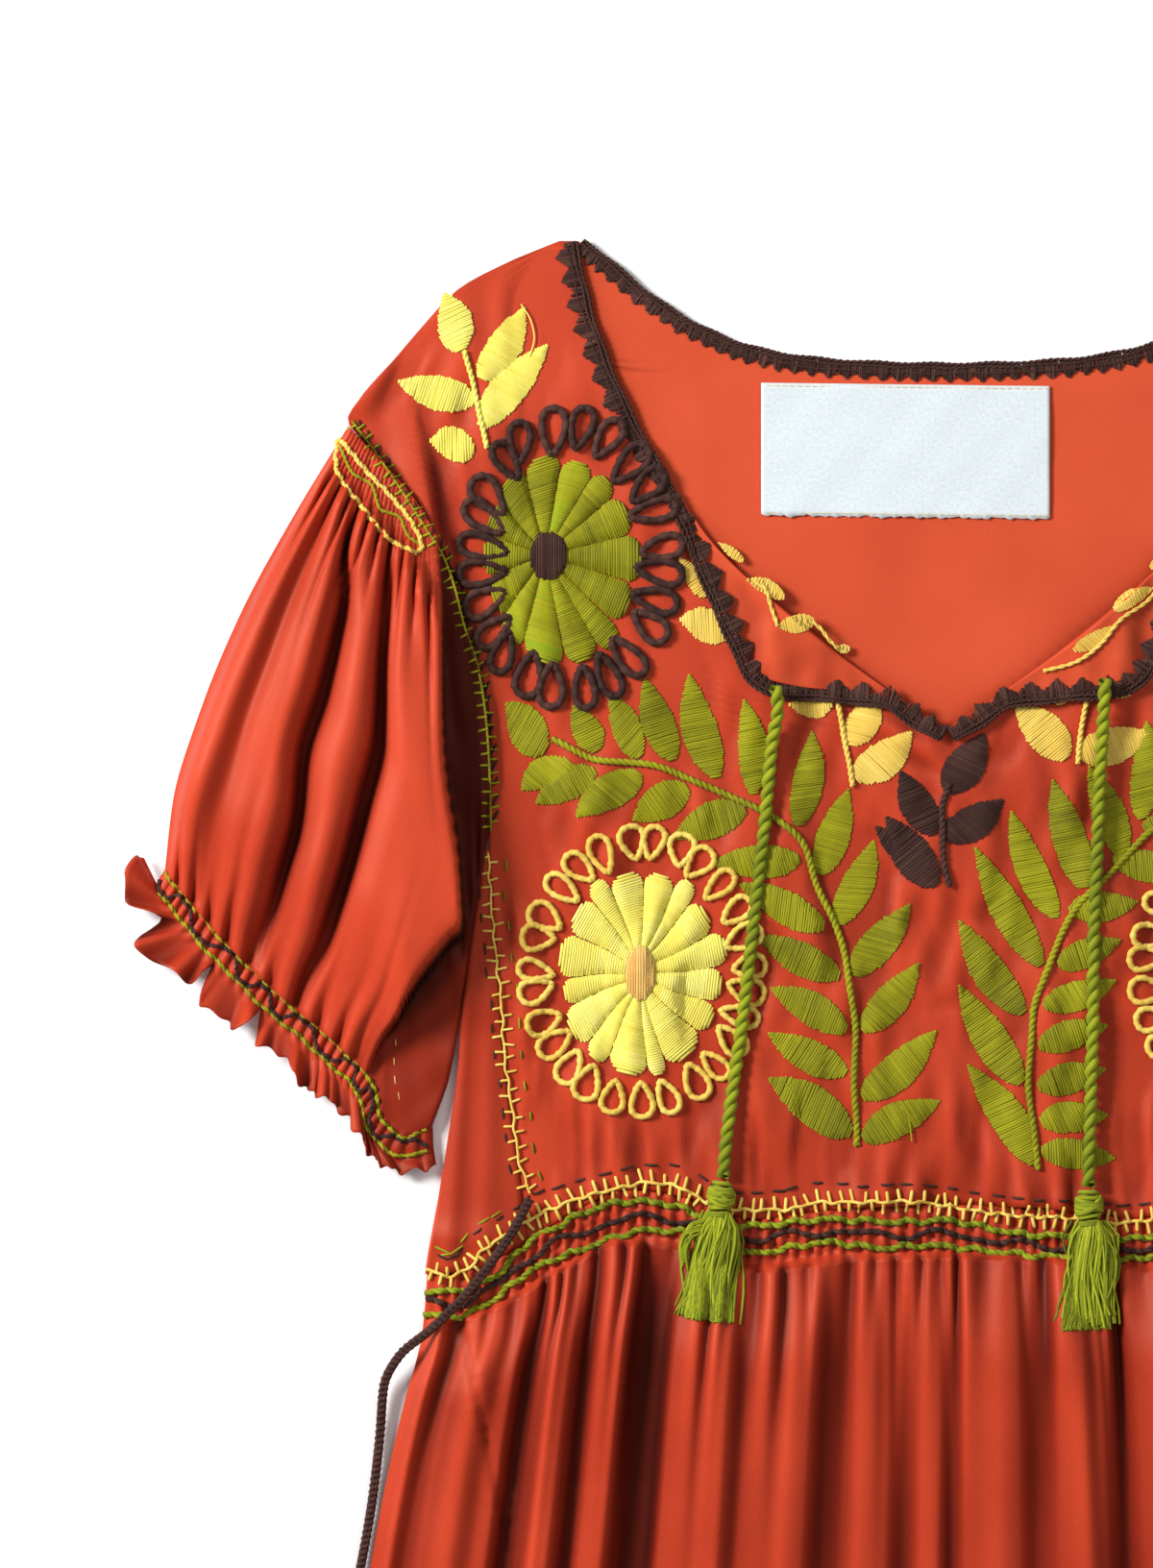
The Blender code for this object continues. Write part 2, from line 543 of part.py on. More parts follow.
def flower(name, side, centre_across, centre_down, half_wide, half_high, petals, spec):
    """A raised satin-stitch flower on the front bodice: a low dome with a scalloped edge."""
    count = petals * FLOWER_PARTS
    angle = np.arange(count) * 2 * math.pi / count
    notch = np.abs(np.cos(0.5 * petals * angle)) ** 0.6
    reach = 0.90 + 0.10 * notch
    mesh = bmesh.new()

    def layer(scale, rise):
        x = side * (centre_across + half_wide * scale * np.sin(angle))
        down = centre_down - half_high * scale * np.cos(angle)
        z = bodice_height(x, down) + 0.5 * WALL + FLOWER_GAP + rise
        return [mesh.verts.new(point(*p)) for p in zip(x, down, z)]

    under = layer(reach * 0.98, 0.0)
    rim = layer(reach, 0.6 * FLOWER_RISE)
    crown = layer(reach * 0.75, FLOWER_RISE)
    core = layer(0.22 * np.ones(count), 0.7 * FLOWER_RISE)
    for low, high in ((under, rim), (rim, crown), (crown, core)):
        for i in range(count):
            j = (i + 1) % count
            mesh.faces.new((low[i], low[j], high[j], high[i]))
    mesh.faces.new(core)
    mesh.faces.new(under[::-1])
    bmesh.ops.triangulate(mesh, faces=[f for f in mesh.faces if len(f.verts) > 4])
    bmesh.ops.recalc_face_normals(mesh, faces=mesh.faces)
    data = bpy.data.meshes.new(name)
    mesh.to_mesh(data)
    mesh.free()
    new_object(name, data, spec)


def resting(route, diameter):
    """A route's (x, down, lift) rows as (x, down, height of the middle) rows on the front's cloth."""
    return tuple((x, down, front_top(x, down) + 0.5 * diameter + SEAM_GAP + 0.3 + lift) for x, down, lift in route)


def cord(name, route, diameter, spacing, spec):
    """A tube through a route's own points, on a smooth curve."""
    table = np.array(route, float)
    length = np.concatenate([[0], np.cumsum(np.linalg.norm(np.diff(table, axis=0), axis=1))])
    rows = np.column_stack([length, table])
    at = np.linspace(0, length[-1], int(length[-1] / spacing) + 1)
    points = np.stack([curve(rows, at, k) for k in (1, 2, 3)], -1)
    data = bpy.data.curves.new(name, "CURVE")
    data.dimensions = "3D"
    data.bevel_depth = 0.5 * diameter * MM
    data.bevel_resolution = 2
    data.use_fill_caps = True
    spline = data.splines.new("POLY")
    spline.points.add(len(points) - 1)
    for at_point, place in zip(spline.points, points):
        at_point.co = (*point(*place), 1.0)
    return new_object(name, data, spec)


def lathe(name, centre, way, profile, spec, sides=10, flat=1.0):
    """A solid of rings about an axis that lies along way, from (distance along, radius) rows."""
    side = Vector((-way.y, way.x, 0)).normalized()
    up = Vector((0, 0, 1))
    mesh = bmesh.new()
    rings = []
    for along, radius in profile:
        rings.append([
            mesh.verts.new(
                centre + way * (along * MM)
                + (side * math.cos(a) + up * (flat * math.sin(a))) * (radius * MM)
            )
            for a in (2 * math.pi * k / sides for k in range(sides))
        ])
    for first, second in zip(rings, rings[1:]):
        for i in range(sides):
            j = (i + 1) % sides
            mesh.faces.new((first[i], first[j], second[j], second[i]))
    for end in (rings[0], rings[-1]):
        bmesh.ops.triangulate(mesh, faces=[mesh.faces.new(end)])
    bmesh.ops.recalc_face_normals(mesh, faces=mesh.faces)
    data = bpy.data.meshes.new(name)
    mesh.to_mesh(data)
    mesh.free()
    return new_object(name, data, spec)


def strands(name, centre, way, spec):
    """A tassel's locks, three-sided and standing apart, as one cutter for its head."""
    side = Vector((-way.y, way.x, 0)).normalized()
    mesh = bmesh.new()
    for k in range(TASSEL_STRANDS):
        layer, place = k % 3, (k // 3) - 2.0 + (0.5 if k % 3 == 1 else 0.0)
        length = TASSEL_LENGTH * (1 - 0.05 * ((k * 7) % 4))
        rings = []
        for along, spread, thick in ((0.0, 1.35, 0.5), (0.35, 3.0, 0.95), (0.7, 3.3, 0.95), (1.0, 3.1, 0.7)):
            lift = (layer - 1) * (1.35 + 1.1 * min(along * 3, 1.0)) - TASSEL_SETTLES * along
            middle = centre + way * ((TASSEL_NECK + along * length) * MM) + side * (place * spread * MM)
            middle.z += lift * MM
            rings.append([
                mesh.verts.new(middle + (side * math.cos(a) + Vector((0, 0, math.sin(a)))) * (thick * MM))
                for a in (math.pi / 2, math.pi * 7 / 6, math.pi * 11 / 6)
            ])
        for first, second in zip(rings, rings[1:]):
            for i in range(3):
                j = (i + 1) % 3
                mesh.faces.new((first[i], first[j], second[j], second[i]))
        mesh.faces.new(rings[0])
        mesh.faces.new(rings[-1])
    bmesh.ops.recalc_face_normals(mesh, faces=mesh.faces)
    data = bpy.data.meshes.new(name)
    mesh.to_mesh(data)
    mesh.free()
    made = new_object(name, data, spec)
    made.hide_render = True
    made.display_type = "WIRE"
    return made


def tassel(name, end, tilt):
    """The knot at the end of a neck cord and the tassel below it, one piece with its fused locks."""
    x, down, z = end
    reach = TASSEL_NECK + TASSEL_LENGTH
    tops = [front_top(x + math.sin(tilt) * along, down + along, 9.0) for along in (25.0, 35.0, 45.0, reach)]
    rise = (max(tops) + 0.5 * TASSEL_DEPTH + 2 * SEAM_GAP - z) / reach
    way = Vector((math.sin(tilt), -math.cos(tilt), max(rise, -0.05))).normalized()
    centre = point(x, down, z) + way * ((0.5 * NECK_CORD_DIAMETER + SEAM_GAP) * MM)
    head = lathe(name, centre, way, TASSEL_HEAD, GREEN)
    joined = head.modifiers.new("locks", "BOOLEAN")
    joined.operation = "UNION"
    joined.solver = "EXACT"
    joined.object = strands(f"{name}_locks", centre, way, GREEN)


def main():
    for old in list(bpy.data.objects):
        bpy.data.objects.remove(old)
    bodice()
    skirt()
    back_edging()
    label()
    for word, side in SIDES.items():
        side_panel(f"side_panel_{word}", side)
        sleeve(f"sleeve_{word}", side)
        lapel(f"neck_corner_{word}", side)
        front_edging(f"front_neck_edging_{word}", side)
        for (name, *place), spec in zip(FLOWERS, (GREEN, YELLOW)):
            flower(f"{name}_{word}", side, *place, spec)
        neck_route = resting(NECK_CORDS[word], NECK_CORD_DIAMETER)
        cord(f"neck_cord_{word}", neck_route, NECK_CORD_DIAMETER, 11.0, GREEN)
        tie = resting(TIE_ON_CLOTH, TIE_DIAMETER) + TIE_ON_FLOOR
        tie = tuple((side * x, down, z) for x, down, z in tie)
        cord(f"waist_tie_{word}", tie, TIE_DIAMETER, 14.0, TRIM)
        tassel(f"tassel_{word}", neck_route[-1], TASSEL_TILT[word])


main()
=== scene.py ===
"""The dressed scene of an embroidered satin dress, laid flat on its back and seen from straight above.

Places on the cloth are in millimetres, as across (x, from the centre line) and down (from the neck point).
"""

import math

import bpy
import numpy as np
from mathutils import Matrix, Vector
from mathutils.kdtree import KDTree


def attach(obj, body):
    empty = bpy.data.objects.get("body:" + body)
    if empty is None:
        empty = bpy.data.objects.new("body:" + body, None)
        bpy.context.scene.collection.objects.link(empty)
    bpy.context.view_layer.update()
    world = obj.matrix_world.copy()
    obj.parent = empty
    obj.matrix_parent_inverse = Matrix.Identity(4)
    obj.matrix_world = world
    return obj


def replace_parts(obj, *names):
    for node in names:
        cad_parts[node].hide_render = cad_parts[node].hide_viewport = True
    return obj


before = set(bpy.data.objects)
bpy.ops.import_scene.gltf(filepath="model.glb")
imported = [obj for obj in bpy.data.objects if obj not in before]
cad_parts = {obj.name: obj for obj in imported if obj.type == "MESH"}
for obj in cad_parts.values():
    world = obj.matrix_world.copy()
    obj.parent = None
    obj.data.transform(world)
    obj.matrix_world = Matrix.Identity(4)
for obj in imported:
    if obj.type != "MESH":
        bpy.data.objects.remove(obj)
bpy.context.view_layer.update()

MM = 0.001
LENGTH = 960.0
TOP_EDGE = 1.1
MIDDLE = 0.5 * (LENGTH + TOP_EDGE)
SIDES = {"right": -1.0, "left": 1.0}
FRONT_REST = 2.1
BACK_MIDDLE = 0.6
CLOTH_WALL = 0.5


def curve(rows, at, column=1):
    """A column of a table at a place in its first column, on a smooth curve that never overshoots its rows."""
    table = np.array(rows, float)
    x, y = table[:, 0], table[:, column]
    step, slope = np.diff(x), np.diff(y) / np.diff(x)
    inner = np.zeros(len(x))
    weight = (2 * step[1:] + step[:-1], step[1:] + 2 * step[:-1])
    with np.errstate(divide="ignore", invalid="ignore"):
        mean = (weight[0] + weight[1]) / (weight[0] / slope[:-1] + weight[1] / slope[1:])
    inner[1:-1] = np.where(slope[:-1] * slope[1:] > 0, mean, 0.0)
    inner[0], inner[-1] = slope[0], slope[-1]
    at = np.clip(np.asarray(at, float), x[0], x[-1])
    i = np.clip(np.searchsorted(x, at) - 1, 0, len(x) - 2)
    t = (at - x[i]) / step[i]
    low = (1 + 2 * t) * (1 - t) ** 2 * y[i] + t * (1 - t) ** 2 * step[i] * inner[i]
    high = t * t * (3 - 2 * t) * y[i + 1] + t * t * (t - 1) * step[i] * inner[i + 1]
    return low + high


def ease(value):
    value = np.clip(value, 0.0, 1.0)
    return value * value * (3 - 2 * value)


def bump(distance):
    return np.cos(0.5 * math.pi * np.clip(np.abs(distance), 0.0, 1.0)) ** 2


def place(x, down, z):
    """Millimetres on the dress as metres in the frame."""
    return np.stack([np.asarray(x) * MM, (MIDDLE - np.asarray(down)) * MM, np.asarray(z) * MM], -1)


def ripple(x, down, seed, count, longest, shortest, stretch=1.0):
    """Soft uneven waves, about -1 to 1. stretch makes them longer down the cloth."""
    draw = np.random.default_rng(seed)
    total = 0.0
    for _ in range(count):
        turn, phase = draw.uniform(0, math.pi), draw.uniform(0, 2 * math.pi)
        wave = 2 * math.pi / draw.uniform(shortest, longest)
        total = total + np.sin(wave * (x * math.cos(turn) + down * math.sin(turn) / stretch) + phase)
    return total / math.sqrt(count)


# ---- camera, light and floor ----

PHOTO_CENTRE = (-128.3, 189.3)
PHOTO_HEIGHT = 544.0
CAMERA_HEIGHT = 2.2


def camera():
    data = bpy.data.cameras.new("camera")
    data.sensor_width = 36.0
    data.lens = 36.0 * CAMERA_HEIGHT / (PHOTO_HEIGHT * MM)
    made = bpy.data.objects.new("camera", data)
    x, y, _ = place(*PHOTO_CENTRE, 0)
    made.location = (x, y, CAMERA_HEIGHT)
    bpy.context.scene.collection.objects.link(made)
    bpy.context.scene.camera = made


def light(name, spot, size, power, colour=(1, 1, 1)):
    data = bpy.data.lights.new(name, "AREA")
    data.shape = "DISK"
    data.size = size
    data.energy = power
    data.color = colour
    made = bpy.data.objects.new(name, data)
    made.location = spot
    aim = Vector((-0.1, 0.2, 0.0)) - made.location
    made.rotation_mode = "QUATERNION"
    made.rotation_quaternion = aim.to_track_quat("-Z", "Y")
    bpy.context.scene.collection.objects.link(made)


def studio():
    world = bpy.data.worlds.new("studio")
    world.use_nodes = True
    back = world.node_tree.nodes["Background"]
    back.inputs["Color"].default_value = (1.0, 1.0, 1.0, 1.0)
    back.inputs["Strength"].default_value = 0.34
    bpy.context.scene.world = world
    light("key", (-1.9, 1.1, 1.5), 0.8, 84.0)
    light("fill", (1.4, 1.2, 2.2), 1.6, 12.0)
    bpy.context.scene.view_settings.view_transform = "Standard"
    mesh = bpy.data.meshes.new("floor")
    mesh.from_pydata([(-4, -4, 0), (4, -4, 0), (4, 4, 0), (-4, 4, 0)], [], [(0, 1, 2, 3)])
    floor = bpy.data.objects.new("floor", mesh)
    floor.location.z = -0.0004
    bpy.context.scene.collection.objects.link(floor)
    made = bpy.data.materials.new("floor")
    made.use_nodes = True
    shader = made.node_tree.nodes["Principled BSDF"]
    shader.inputs["Base Color"].default_value = (0.93, 0.93, 0.93, 1.0)
    shader.inputs["Roughness"].default_value = 0.9
    shader.inputs["Specular IOR Level"].default_value = 0.1
    mesh.materials.append(made)


# ---- materials ----


class Nodes:
    """Short calls for a material's node tree."""

    def __init__(self, name):
        self.material = bpy.data.materials.new(name)
        self.material.use_nodes = True
        self.tree = self.material.node_tree
        self.shader = self.tree.nodes["Principled BSDF"]

    def add(self, kind, **values):
        node = self.tree.nodes.new(kind)
        for key, value in values.items():
            if key in node.inputs:
                node.inputs[key].default_value = value
            else:
                setattr(node, key, value)
        return node

    def link(self, source, target):
        self.tree.links.new(source, target)

    def set(self, **values):
        for key, value in values.items():
            self.shader.inputs[key.replace("_", " ")].default_value = value

    def ramp(self, source, stops):
        node = self.add("ShaderNodeValToRGB")
        elements = node.color_ramp.elements
        while len(elements) < len(stops):
            elements.new(0.5)
        for element, (spot, colour) in zip(elements, stops):
            element.position = spot
            element.color = (*colour, 1.0)
        self.link(source, node.inputs["Fac"])
        return node.outputs["Color"]

    def math(self, operation, a, b):
        node = self.add("ShaderNodeMath", operation=operation)
        for socket, value in zip(node.inputs, (a, b)):
            if isinstance(value, (int, float)):
                socket.default_value = value
            else:
                self.link(value, socket)
        return node.outputs[0]


def satin(name, dark, light_tone, gloss=0.24):
    """Warp-faced satin: a smooth sheen that runs across the warp, over very fine long floats, with painted shade that
    darkens its colour in the folds.
    """
    n = Nodes(name)
    uv = n.add("ShaderNodeUVMap", uv_map="cloth").outputs["UV"]
    broad = n.add("ShaderNodeTexNoise", Scale=14.0, Detail=3.0, Roughness=0.5)
    n.link(uv, broad.inputs["Vector"])
    warp = n.add("ShaderNodeMapping")
    warp.inputs["Scale"].default_value = (3600.0, 260.0, 1.0)
    n.link(uv, warp.inputs["Vector"])
    floats = n.add("ShaderNodeTexNoise", Scale=1.0, Detail=2.0, Roughness=0.6)
    n.link(warp.outputs["Vector"], floats.inputs["Vector"])
    weft = n.add("ShaderNodeMapping")
    weft.inputs["Scale"].default_value = (60.0, 1500.0, 1.0)
    n.link(uv, weft.inputs["Vector"])
    slubs = n.add("ShaderNodeTexNoise", Scale=1.0, Detail=2.0, Roughness=0.5)
    n.link(weft.outputs["Vector"], slubs.inputs["Vector"])
    mixed = n.math("ADD", n.math("MULTIPLY", broad.outputs["Fac"], 0.7), n.math("MULTIPLY", floats.outputs["Fac"], 0.3))
    # painted shade: the cloth's depth below its nearby crests, and any painted shadow, darkens the base colour through
    # the FOLD_SHADE ramp
    depth = n.add("ShaderNodeAttribute", attribute_name="depth").outputs["Fac"]
    shade = n.ramp(n.math("MULTIPLY", depth, 1 / 16.0), FOLD_SHADE)
    fold_shaded_colour = n.add("ShaderNodeMix", data_type="RGBA", blend_type="MULTIPLY")
    fold_shaded_colour.inputs["Factor"].default_value = 1.0
    n.link(n.ramp(mixed, ((0.3, dark), (0.68, light_tone))), fold_shaded_colour.inputs["A"])
    n.link(shade, fold_shaded_colour.inputs["B"])
    n.link(fold_shaded_colour.outputs["Result"], n.shader.inputs["Base Color"])
    relief = n.math("ADD", floats.outputs["Fac"], n.math("MULTIPLY", slubs.outputs["Fac"], 0.6))
    fine = n.add("ShaderNodeBump", Strength=0.22, Distance=0.00012)
    n.link(relief, fine.inputs["Height"])
    n.link(fine.outputs["Normal"], n.shader.inputs["Normal"])
    tangent = n.add("ShaderNodeTangent", direction_type="UV_MAP", uv_map="cloth")
    n.link(tangent.outputs["Tangent"], n.shader.inputs["Tangent"])
    rough = n.math("ADD", n.math("MULTIPLY", broad.outputs["Fac"], 0.10), 0.44)
    n.link(rough, n.shader.inputs["Roughness"])
    n.set(Anisotropic=0.6, Specular_IOR_Level=gloss, Sheen_Weight=0.08, Sheen_Roughness=0.35)
    n.shader.inputs["Sheen Tint"].default_value = (1.0, 0.42, 0.25, 1.0)
    n.shader.inputs["Specular Tint"].default_value = (1.0, 0.62, 0.46, 1.0)
    return n.material


def yarn(name, stops, roughness=0.66, sheen=0.06, fibre=2200.0):
    """Thread or yarn: its own tone on each strand, and fine fibres along it."""
    n = Nodes(name)
    tone = n.add("ShaderNodeAttribute", attribute_name="tone").outputs["Fac"]
    where = n.add("ShaderNodeTexCoord").outputs["Object"]
    patch = n.add("ShaderNodeTexNoise", Scale=160.0, Detail=2.0)
    n.link(where, patch.inputs["Vector"])
    hairs = n.add("ShaderNodeTexNoise", Scale=fibre, Detail=3.0, Roughness=0.7)
    n.link(where, hairs.inputs["Vector"])
    mixed = n.math("ADD", n.math("MULTIPLY", tone, 0.72), n.math("MULTIPLY", patch.outputs["Fac"], 0.28))
    mixed = n.math("ADD", mixed, n.math("MULTIPLY", n.math("SUBTRACT", hairs.outputs["Fac"], 0.5), 0.25))
    n.link(n.ramp(mixed, stops), n.shader.inputs["Base Color"])
    relief = n.add("ShaderNodeBump", Strength=0.5, Distance=0.00018)
    n.link(hairs.outputs["Fac"], relief.inputs["Height"])
    n.link(relief.outputs["Normal"], n.shader.inputs["Normal"])
    n.set(Roughness=roughness, Sheen_Weight=sheen, Sheen_Roughness=0.5, Specular_IOR_Level=0.13)
    return n.material


def ribbon(name):
    """The label's woven ribbon: pale, with a close rib."""
    n = Nodes(name)
    uv = n.add("ShaderNodeUVMap", uv_map="cloth").outputs["UV"]
    rib = n.add("ShaderNodeTexWave", Scale=420.0, Distortion=0.4, bands_direction="Y")
    n.link(uv, rib.inputs["Vector"])
    cross = n.add("ShaderNodeTexWave", Scale=420.0, Distortion=0.4, bands_direction="X")
    n.link(uv, cross.inputs["Vector"])
    speck = n.add("ShaderNodeTexNoise", Scale=900.0, Detail=2.0)
    n.link(uv, speck.inputs["Vector"])
    colour = n.ramp(speck.outputs["Fac"], ((0.3, (0.60, 0.67, 0.70)), (0.7, (0.72, 0.77, 0.79))))
    n.link(colour, n.shader.inputs["Base Color"])
    relief = n.add("ShaderNodeBump", Strength=0.14, Distance=0.00006)
    n.link(n.math("MULTIPLY", rib.outputs["Fac"], cross.outputs["Fac"]), relief.inputs["Height"])
    n.link(relief.outputs["Normal"], n.shader.inputs["Normal"])
    n.set(Roughness=0.5, Sheen_Weight=0.2)
    return n.material


# ---- meshes ----


class Threads:
    """Many threads gathered into one joined mesh, each with its own tone."""

    def __init__(self, name, material, slot):
        self.name, self.material, self.slot = name, material, slot
        self.points, self.faces, self.tones, self.count = [], [], [], 0

    def _add(self, points, faces, tones):
        self.points.append(points.reshape(-1, 3))
        self.faces.append(faces + self.count)
        self.tones.append(tones)
        self.count += len(self.points[-1])

    def tube(self, path, radius, sides=6, tone=0.5, squash=1.0, close=False, turns=0):
        """A thread through places in metres. radius is in metres, one for all or one for each place,
        and turns is how many times two plies cross along it."""
        path = np.asarray(path, float)
        count = len(path)
        ahead = np.roll(path, -1, 0) - np.roll(path, 1, 0) if close else np.gradient(path, axis=0)
        ahead = ahead / np.maximum(np.linalg.norm(ahead, axis=1), 1e-12)[:, None]
        side = np.cross(ahead, np.array([0.0, 0.0, 1.0]))
        flat = np.linalg.norm(side, axis=1)
        side = np.where(flat[:, None] > 0.05, side / np.maximum(flat, 1e-9)[:, None], np.array([1.0, 0.0, 0.0]))
        over = np.cross(side, ahead)
        turn = np.arange(sides) * 2 * math.pi / sides
        radius = np.broadcast_to(np.asarray(radius, float), (count,))[:, None, None]
        ring = (side[:, None] * np.cos(turn)[None, :, None] + over[:, None] * (squash * np.sin(turn))[None, :, None])
        if turns:
            phase = 2 * math.pi * turns * np.arange(count)[:, None] / count
            radius = radius * (1 + 0.10 * np.cos(2 * turn[None, :] - phase))[..., None]
        points = path[:, None] + ring * radius
        rows = count if close else count - 1
        i, j = np.meshgrid(np.arange(rows), np.arange(sides), indexing="ij")
        k, m = (i + 1) % count, (j + 1) % sides
        faces = np.stack([i * sides + j, i * sides + m, k * sides + m, k * sides + j], -1).reshape(-1, 4)
        tones = np.broadcast_to(np.asarray(tone, float), (count,))
        self._add(points, faces, np.repeat(tones, sides))

    def stitches(self, start, end, surface, arch, radius, tones, steps=6):
        """Satin stitches laid over the cloth. start and end are (n, 2) rows of across and down."""
        start, end = np.asarray(start, float), np.asarray(end, float)
        t = np.linspace(0, 1, steps)
        flat = start[:, None] + (end - start)[:, None] * t[None, :, None]
        way = end - start
        long = np.maximum(np.linalg.norm(way, axis=1), 1e-6)
        normal = np.stack([way[:, 1], -way[:, 0]], -1) / long[:, None]
        dome = np.sqrt(np.clip(1 - (2 * t - 1) ** 2, 0, 1)) * 0.9 + 0.1
        arch = np.broadcast_to(np.asarray(arch, float), (len(start),))
        high = surface(flat[..., 0], flat[..., 1]) + 0.12 + arch[:, None] * dome[None, :]
        across = np.array([-1.0, -0.55, 0.55, 1.0])
        lift = np.array([-0.55, 0.55, 0.55, -0.55])
        x = flat[..., 0, None] + normal[:, None, None, 0] * across * radius
        down = flat[..., 1, None] + normal[:, None, None, 1] * across * radius
        z = high[..., None] + lift * radius
        points = place(x, down, z)
        n, a, b = np.meshgrid(np.arange(len(start)), np.arange(steps - 1), np.arange(3), indexing="ij")
        base = (n * steps + a) * 4 + b
        faces = np.stack([base, base + 1, base + 5, base + 4], -1).reshape(-1, 4)
        self._add(points, faces, np.repeat(tones, steps * 4))

    def build(self):
        points = np.concatenate(self.points)
        faces = np.concatenate(self.faces)
        made = fill(self.name, points, faces, self.material)
        tone = made.data.attributes.new("tone", "FLOAT", "POINT")
        tone.data.foreach_set("value", np.concatenate(self.tones).astype(np.float32))
        return made


def fill(name, points, faces, material):
    """A smooth mesh object of quads that rides on the dress."""
    mesh = bpy.data.meshes.new(name)
    mesh.vertices.add(len(points))
    mesh.vertices.foreach_set("co", np.asarray(points, np.float32).ravel())
    mesh.loops.add(faces.size)
    mesh.loops.foreach_set("vertex_index", faces.astype(np.int32).ravel())
    mesh.polygons.add(len(faces))
    mesh.polygons.foreach_set("loop_start", np.arange(0, faces.size, 4, dtype=np.int32))
    mesh.polygons.foreach_set("use_smooth", np.ones(len(faces), bool))
    mesh.update(calc_edges=True)
    mesh.validate()
    mesh.materials.append(material)
    made = bpy.data.objects.new(name, mesh)
    bpy.context.scene.collection.objects.link(made)
    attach(made, "root")
    return made


def evened(z, spread):
    """z averaged along each row, over spread places to either side."""
    wide = np.pad(z, ((0, 0), (spread + 1, spread)), mode="edge")
    total = np.cumsum(wide, axis=1)
    return (total[:, 2 * spread + 1:] - total[:, :-2 * spread - 1]) / (2 * spread + 1)


def hollows(z, spread):
    """How far each place lies below the crests beside it."""
    crest = z
    for step in range(1, spread + 1):
        wide = np.pad(z, ((0, 0), (step, step)), mode="edge")
        crest = np.maximum(crest, np.maximum(wide[:, :-2 * step], wide[:, 2 * step:]))
    return np.maximum(evened(crest, spread) - z, 0.0)


def shell(name, x, down, z, material, closed=False, wall=CLOTH_WALL, gap=None, flip=False, folds=(5, 12), shaded=1.0, shadow=0.0):
    """A thin cloth from grids of places. closed joins each row's ends, gap leaves out one column of faces.
    folds are how many places the narrow and the wide folds reach, and each place's depth below those crests
    is painted as shade into the satin's colour; shaded is how much that painted shade shows, and shadow is more painted
    shade, a depth in mm that the grid can't tell."""
    rows, columns = x.shape
    points = place(x, down, z).reshape(-1, 3)
    i, j = np.meshgrid(np.arange(rows - 1), np.arange(columns if closed else columns - 1), indexing="ij")
    if gap is not None:
        keep = (j != gap) | (x[i, (j + 1) % columns] - x[i, j] < 0.001)
        i, j = i[keep], j[keep]
    k = (j + 1) % columns
    corners = [i * columns + j, (i + 1) * columns + j, (i + 1) * columns + k, i * columns + k]
    faces = np.stack(corners[::-1] if flip else corners, -1).reshape(-1, 4)
    made = fill(name, points, faces, material)
    layer = made.data.uv_layers.new(name="cloth")
    flat = np.stack([x.ravel() * MM, -down.ravel() * MM], -1)
    index = np.zeros(len(made.data.loops), np.int32)
    made.data.loops.foreach_get("vertex_index", index)
    layer.data.foreach_set("uv", flat[index].astype(np.float32).ravel())
    narrow, broad = hollows(z, folds[0]), hollows(z, folds[1])
    # painted shade: how far each place lies below the crests beside it, or the given painted shadow, which the satin
    # turns into darker colour
    depth = made.data.attributes.new("depth", "FLOAT", "POINT")
    deep = np.maximum(np.maximum(2.1 * narrow, broad) * shaded, shadow)
    depth.data.foreach_set("value", deep.astype(np.float32).ravel())
    weld = made.modifiers.new("weld", "WELD")
    weld.merge_threshold = 0.00002
    thick = made.modifiers.new("thickness", "SOLIDIFY")
    thick.thickness = wall * MM
    thick.offset = -1.0
    return made


# ---- the dress's own sizes ----

OUTER_EDGE = (
    (0.0, 131.7), (8.3, 151.7), (17.7, 169.0), (29.3, 180.5), (42.7, 192.0), (56.0, 203.5),
    (63.3, 207.7), (68.0, 204.5), (78.0, 195.0), (94.0, 181.7), (114.0, 171.7), (134.0, 166.7),
    (164.0, 158.8), (184.0, 157.7), (208.0, 158.6), (238.0, 156.7), (278.0, 153.3), (311.0, 148.3),
    (350.0, 143.0),
)
BODY_EDGE = (
    (211.0, 160.5), (228.0, 162.5), (248.0, 165.5), (268.0, 168.0), (292.0, 170.5), (308.0, 173.3),
    (328.0, 176.7), (348.0, 180.7), (362.0, 182.0),
)
FRONT_OPENING = (
    (0.0, 130.0), (27.7, 124.0), (54.3, 114.0), (81.0, 99.0), (95.0, 89.0), (107.7, 79.5),
    (124.0, 62.0), (137.7, 45.0), (151.0, 28.5), (160.0, 15.0), (170.0, 0.0),
)
BACK_OPENING = (
    (0.0, 130.0), (3.0, 124.0), (10.0, 116.0), (17.7, 107.0), (27.0, 95.0), (34.3, 82.0), (40.5, 64.0),
    (43.8, 42.0), (45.3, 0.0),
)
WAIST = (
    (0.0, 335.0), (30.0, 336.0), (52.0, 338.5), (66.0, 340.0), (90.0, 332.5), (112.0, 330.0),
    (130.0, 338.5), (148.0, 350.0), (165.0, 357.5), (184.0, 359.5),
)
WAIST_MIDDLE = WAIST[0][1]
SHOULDER_FOLD = (
    (30.0, 192.0), (44.0, 186.0), (58.0, 181.5), (72.0, 178.5), (86.0, 176.0), (100.0, 174.0), (116.0, 170.5),
    (135.0, 165.0), (155.0, 161.0),
)
WAIST_BEND_FROM = 250.0
SKIRT_EDGE = ((335.0, 180.0), (360.0, 182.0), (384.0, 187.0), (462.0, 200.0), (960.0, 294.0))
